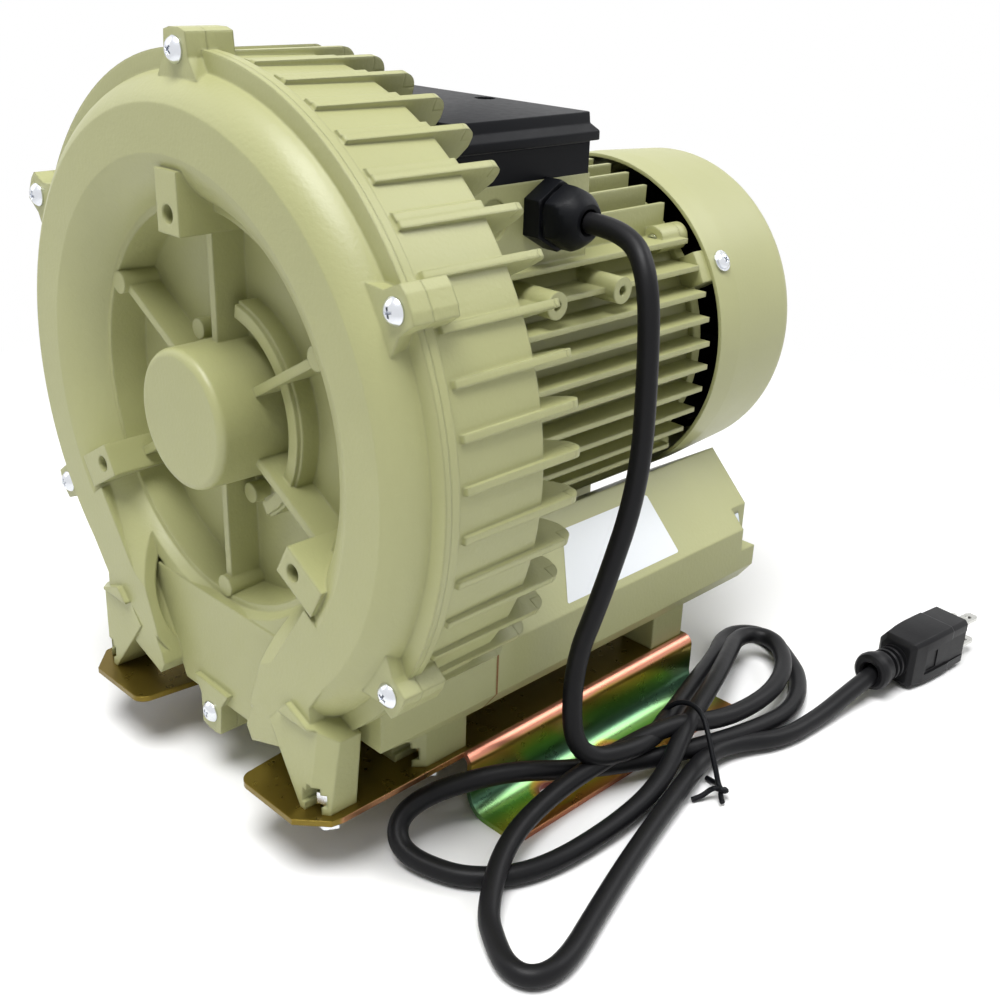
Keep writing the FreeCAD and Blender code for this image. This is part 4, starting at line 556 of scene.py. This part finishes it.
# Plug: one rubber moulding that lies on its side, with a belled and slotted strain relief, a stepped body
# and a shallow panel for the fingers. Two flat blades with holes and a round earth pin stand out of its end.
plug_foot = Vector((0.1527, 0.1515, 0.0133))
plug_lie = Matrix.Translation(plug_foot) @ Matrix.Rotation(math.radians(-6.0), 4, "Z")
at_plug = plug_lie @ Matrix.Rotation(math.radians(-90), 4, "X")
plug_outline = [(-7.2, -12), (8.8, -12), (10.4, -10.2), (10.4, 10.2), (8.8, 12), (-7.2, 12), (-10.4, 7.5),
                (-10.4, -7.5)]
plug_steps = ((5, (1.08, 1.06)), (7, (1.03, 1.03)), (14, (1.0, 1.0)), (0.7, (0.965, 0.965)),
              (12.8, (0.98, 0.98)))
plug_body = prism(plug_outline, 0, 2.5)
for rise, shrink in plug_steps:
    capped(plug_body, 1, rise, shrink)
capped(plug_body, -1, -2.0, (0.78, 0.8))
sharp = [edge for edge in plug_body.edges if edge.calc_face_angle(0) > 0.3]
bmesh.ops.bevel(plug_body, geom=sharp, offset=0.0009, affect="EDGES", segments=3, profile=0.5, material=-1,
                clamp_overlap=True)
finger_panel = block((2, 13.2, 40), (11.6, 0, 28.5))
panel_foot = block((2, 9.6, 8), (11.1, 0.6, 14.5))
plug_body = shaped(plug_body, [finger_panel, panel_foot])
strain_relief = turned([(0, -17), (4.3, -17), (4.4, -20.6), (5.4, -21.6), (7.4, -21.9), (8.8, -20.9),
                        (9.4, -19.2), (9.2, -16.8), (8.5, -14.4), (7.9, -12.6), (7.9, -11.6), (6.3, -11.3),
                        (6.3, -9.8), (7.8, -9.5), (7.8, -8.1), (6.3, -7.8), (6.3, -6.3), (7.8, -6.0),
                        (7.8, -4.6), (6.3, -4.3), (6.3, -2.8), (7.9, -2.5), (7.9, -1.9), (0, -1.9)], 48)
moulded_plug = gather("moulded_plug", [(plug_body, at_plug), (strain_relief, at_plug)], "blower", "cord_rubber",
                      cord_rubber, "plug_body")
blade_outline = [(-3.15, 41), (3.15, 41), (3.15, 57.5), (1.7, 59.2), (-1.7, 59.2), (-3.15, 57.5)]
blade_half_thickness = 0.75
blade_hole_y = 0.0543
at_blades = plug_lie @ Matrix.Translation((0.0036, 0, 0))
at_earth_pin = at_plug @ Matrix.Translation((-0.0075, 0, 0))
prongs = []
for level in (-6.35, 6.35):
    blade = prism(blade_outline, level - blade_half_thickness, level + blade_half_thickness)
    punch = turned([(0, level - 3), (1.6, level - 3), (1.6, level + 3), (0, level + 3)], 24)
    bmesh.ops.translate(punch, verts=punch.verts[:], vec=(0, blade_hole_y, 0))
    prongs.append((shaped(blade, [punch]), at_blades))
earth_pin = turned([(0, 41), (2.4, 41), (2.4, 60), (2.1, 61.4), (1.3, 62.3), (0, 62.6)], 24)
prongs.append((earth_pin, at_earth_pin))
nickel = metal("nickel_plate", (0.60, 0.60, 0.57), 0.26, 300.0)
plug_prongs = gather("plug_prongs", prongs, "blower", "plug_brass", nickel, "plug_pins")

# Twist tie: a plastic-covered wire, 2.3 mm thick, laid over the bundle of loops, with its two ends twisted
# together beside it.
over_bundle = [(111, 18, 1.2), (108, 18.5, 4), (107.5, 20, 11), (110, 23, 19), (115, 26, 25), (121.5, 27, 27),
               (129, 25.5, 26), (136, 21, 21), (142, 17, 15), (146.5, 14.5, 9.5), (149, 13, 6),
               (152, 11.5, 5.5), (153, 14, 4.5), (150.5, 15, 4), (151, 11.5, 3.2), (154.5, 9, 2.2)]
beside_bundle = [(139, 19, 1.2), (144, 18, 2), (148, 15.5, 4), (150, 13, 4.2), (149.5, 10.5, 6),
                 (147.5, 9.5, 4.6), (146, 5.5, 2), (144, 2, 1.4)]
tie_diameter = 0.0023
twist_tie = drawn_curve("twist_tie", [over_bundle, beside_bundle], tie_diameter, 3, 12)
twist_tie.data.materials.append(black_plastic.material)
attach(twist_tie, "blower")
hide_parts("cord_tie")

# Studio: a white floor and a white surround that metal also mirrors, one large soft light from above the
# front, weaker ones from the left and from behind, and the viewer's camera.
floor_mesh = bmesh.new()
bmesh.ops.create_grid(floor_mesh, x_segments=1, y_segments=1, size=4.0)
floor_data = bpy.data.meshes.new("studio_floor")
floor_mesh.to_mesh(floor_data)
floor_mesh.free()
floor = bpy.data.objects.new("studio_floor", floor_data)
bpy.context.scene.collection.objects.link(floor)
backdrop_rays = ("Is Camera Ray", "Is Glossy Ray", "Is Transmission Ray")
floor_finish = Finish("studio_floor", (0.92, 0.92, 0.92), 0.9)
camera_seen, glossy_seen, transmission_seen = (floor_finish.node("LightPath", output=name)
                                               for name in backdrop_rays)
distance = floor_finish.node("VectorMath", {"operation": "LENGTH"}, {0: floor_finish.place}, "Value")
far_off = floor_finish.ramp(distance, 0.26, 0.62) * (camera_seen + glossy_seen + transmission_seen)
floor_glow = floor_finish.tree.nodes.new("ShaderNodeEmission")
floor_mix = floor_finish.tree.nodes.new("ShaderNodeMixShader")
floor_finish.feed(floor_mix.inputs["Fac"], far_off)
floor_finish.tree.links.new(floor_finish.shader.outputs[0], floor_mix.inputs[1])
floor_finish.tree.links.new(floor_glow.outputs[0], floor_mix.inputs[2])
floor_finish.tree.links.new(floor_mix.outputs[0], floor_finish.tree.nodes["Material Output"].inputs["Surface"])
floor.data.materials.append(floor_finish.material)


def area_light(name, place, size, power):
    """A round soft light that points at the middle of the blower."""
    data = bpy.data.lights.new(name, "AREA")
    data.shape = "DISK"
    data.size = size
    data.energy = power
    light = bpy.data.objects.new(name, data)
    light.location = place
    light.rotation_mode = "QUATERNION"
    light.rotation_quaternion = (Vector((0, 0, 0.15)) - Vector(place)).to_track_quat("-Z", "Y")
    bpy.context.scene.collection.objects.link(light)


area_light("key_light", (0.25, -0.6, 2.2), 1.4, 60.0)
area_light("fill_light", (-1.6, -1.0, 1.2), 1.6, 6.0)
area_light("rim_light", (0.8, 1.6, 1.8), 1.4, 18.0)
world = bpy.data.worlds.new("studio")
bpy.context.scene.world = world
world.use_nodes = True
world_nodes = world.node_tree.nodes
world_links = world.node_tree.links
surround = world_nodes["Background"]
surround.inputs["Color"].default_value = (1, 1, 1, 1)
surround.inputs["Strength"].default_value = 0.25
backdrop = world_nodes.new("ShaderNodeBackground")
backdrop.inputs["Color"].default_value = (1, 1, 1, 1)
backdrop.inputs["Strength"].default_value = 1.0
light_path = world_nodes.new("ShaderNodeLightPath")
backdrop_seen = light_path.outputs[backdrop_rays[0]]
for name in backdrop_rays[1:]:
    either = world_nodes.new("ShaderNodeMath")
    either.operation = "MAXIMUM"
    world_links.new(backdrop_seen, either.inputs[0])
    world_links.new(light_path.outputs[name], either.inputs[1])
    backdrop_seen = either.outputs[0]
world_mix = world_nodes.new("ShaderNodeMixShader")
world_links.new(backdrop_seen, world_mix.inputs["Fac"])
world_links.new(surround.outputs[0], world_mix.inputs[1])
world_links.new(backdrop.outputs[0], world_mix.inputs[2])
world_links.new(world_mix.outputs[0], world_nodes["World Output"].inputs["Surface"])

camera_place = (0.3860, -0.3662, 0.3265)
camera_azimuth = math.radians(44.37)
camera_elevation = math.radians(23.91)
camera_roll = math.radians(2.08)
back = Vector((math.sin(camera_azimuth) * math.cos(camera_elevation),
               -math.cos(camera_azimuth) * math.cos(camera_elevation), math.sin(camera_elevation)))
level_right = Vector((math.cos(camera_azimuth), math.sin(camera_azimuth), 0))
level_up = back.cross(level_right)
right = math.cos(camera_roll) * level_right + math.sin(camera_roll) * level_up
camera_data = bpy.data.cameras.new("viewer")
camera_data.lens = 45.48
camera_data.sensor_width = 36.0
camera = bpy.data.objects.new("viewer", camera_data)
camera_turn = Matrix((right, back.cross(right), back)).transposed().to_4x4()
camera.matrix_world = Matrix.Translation(camera_place) @ camera_turn
bpy.context.scene.collection.objects.link(camera)
bpy.context.scene.camera = camera
bpy.context.scene.view_settings.view_transform = "Standard"
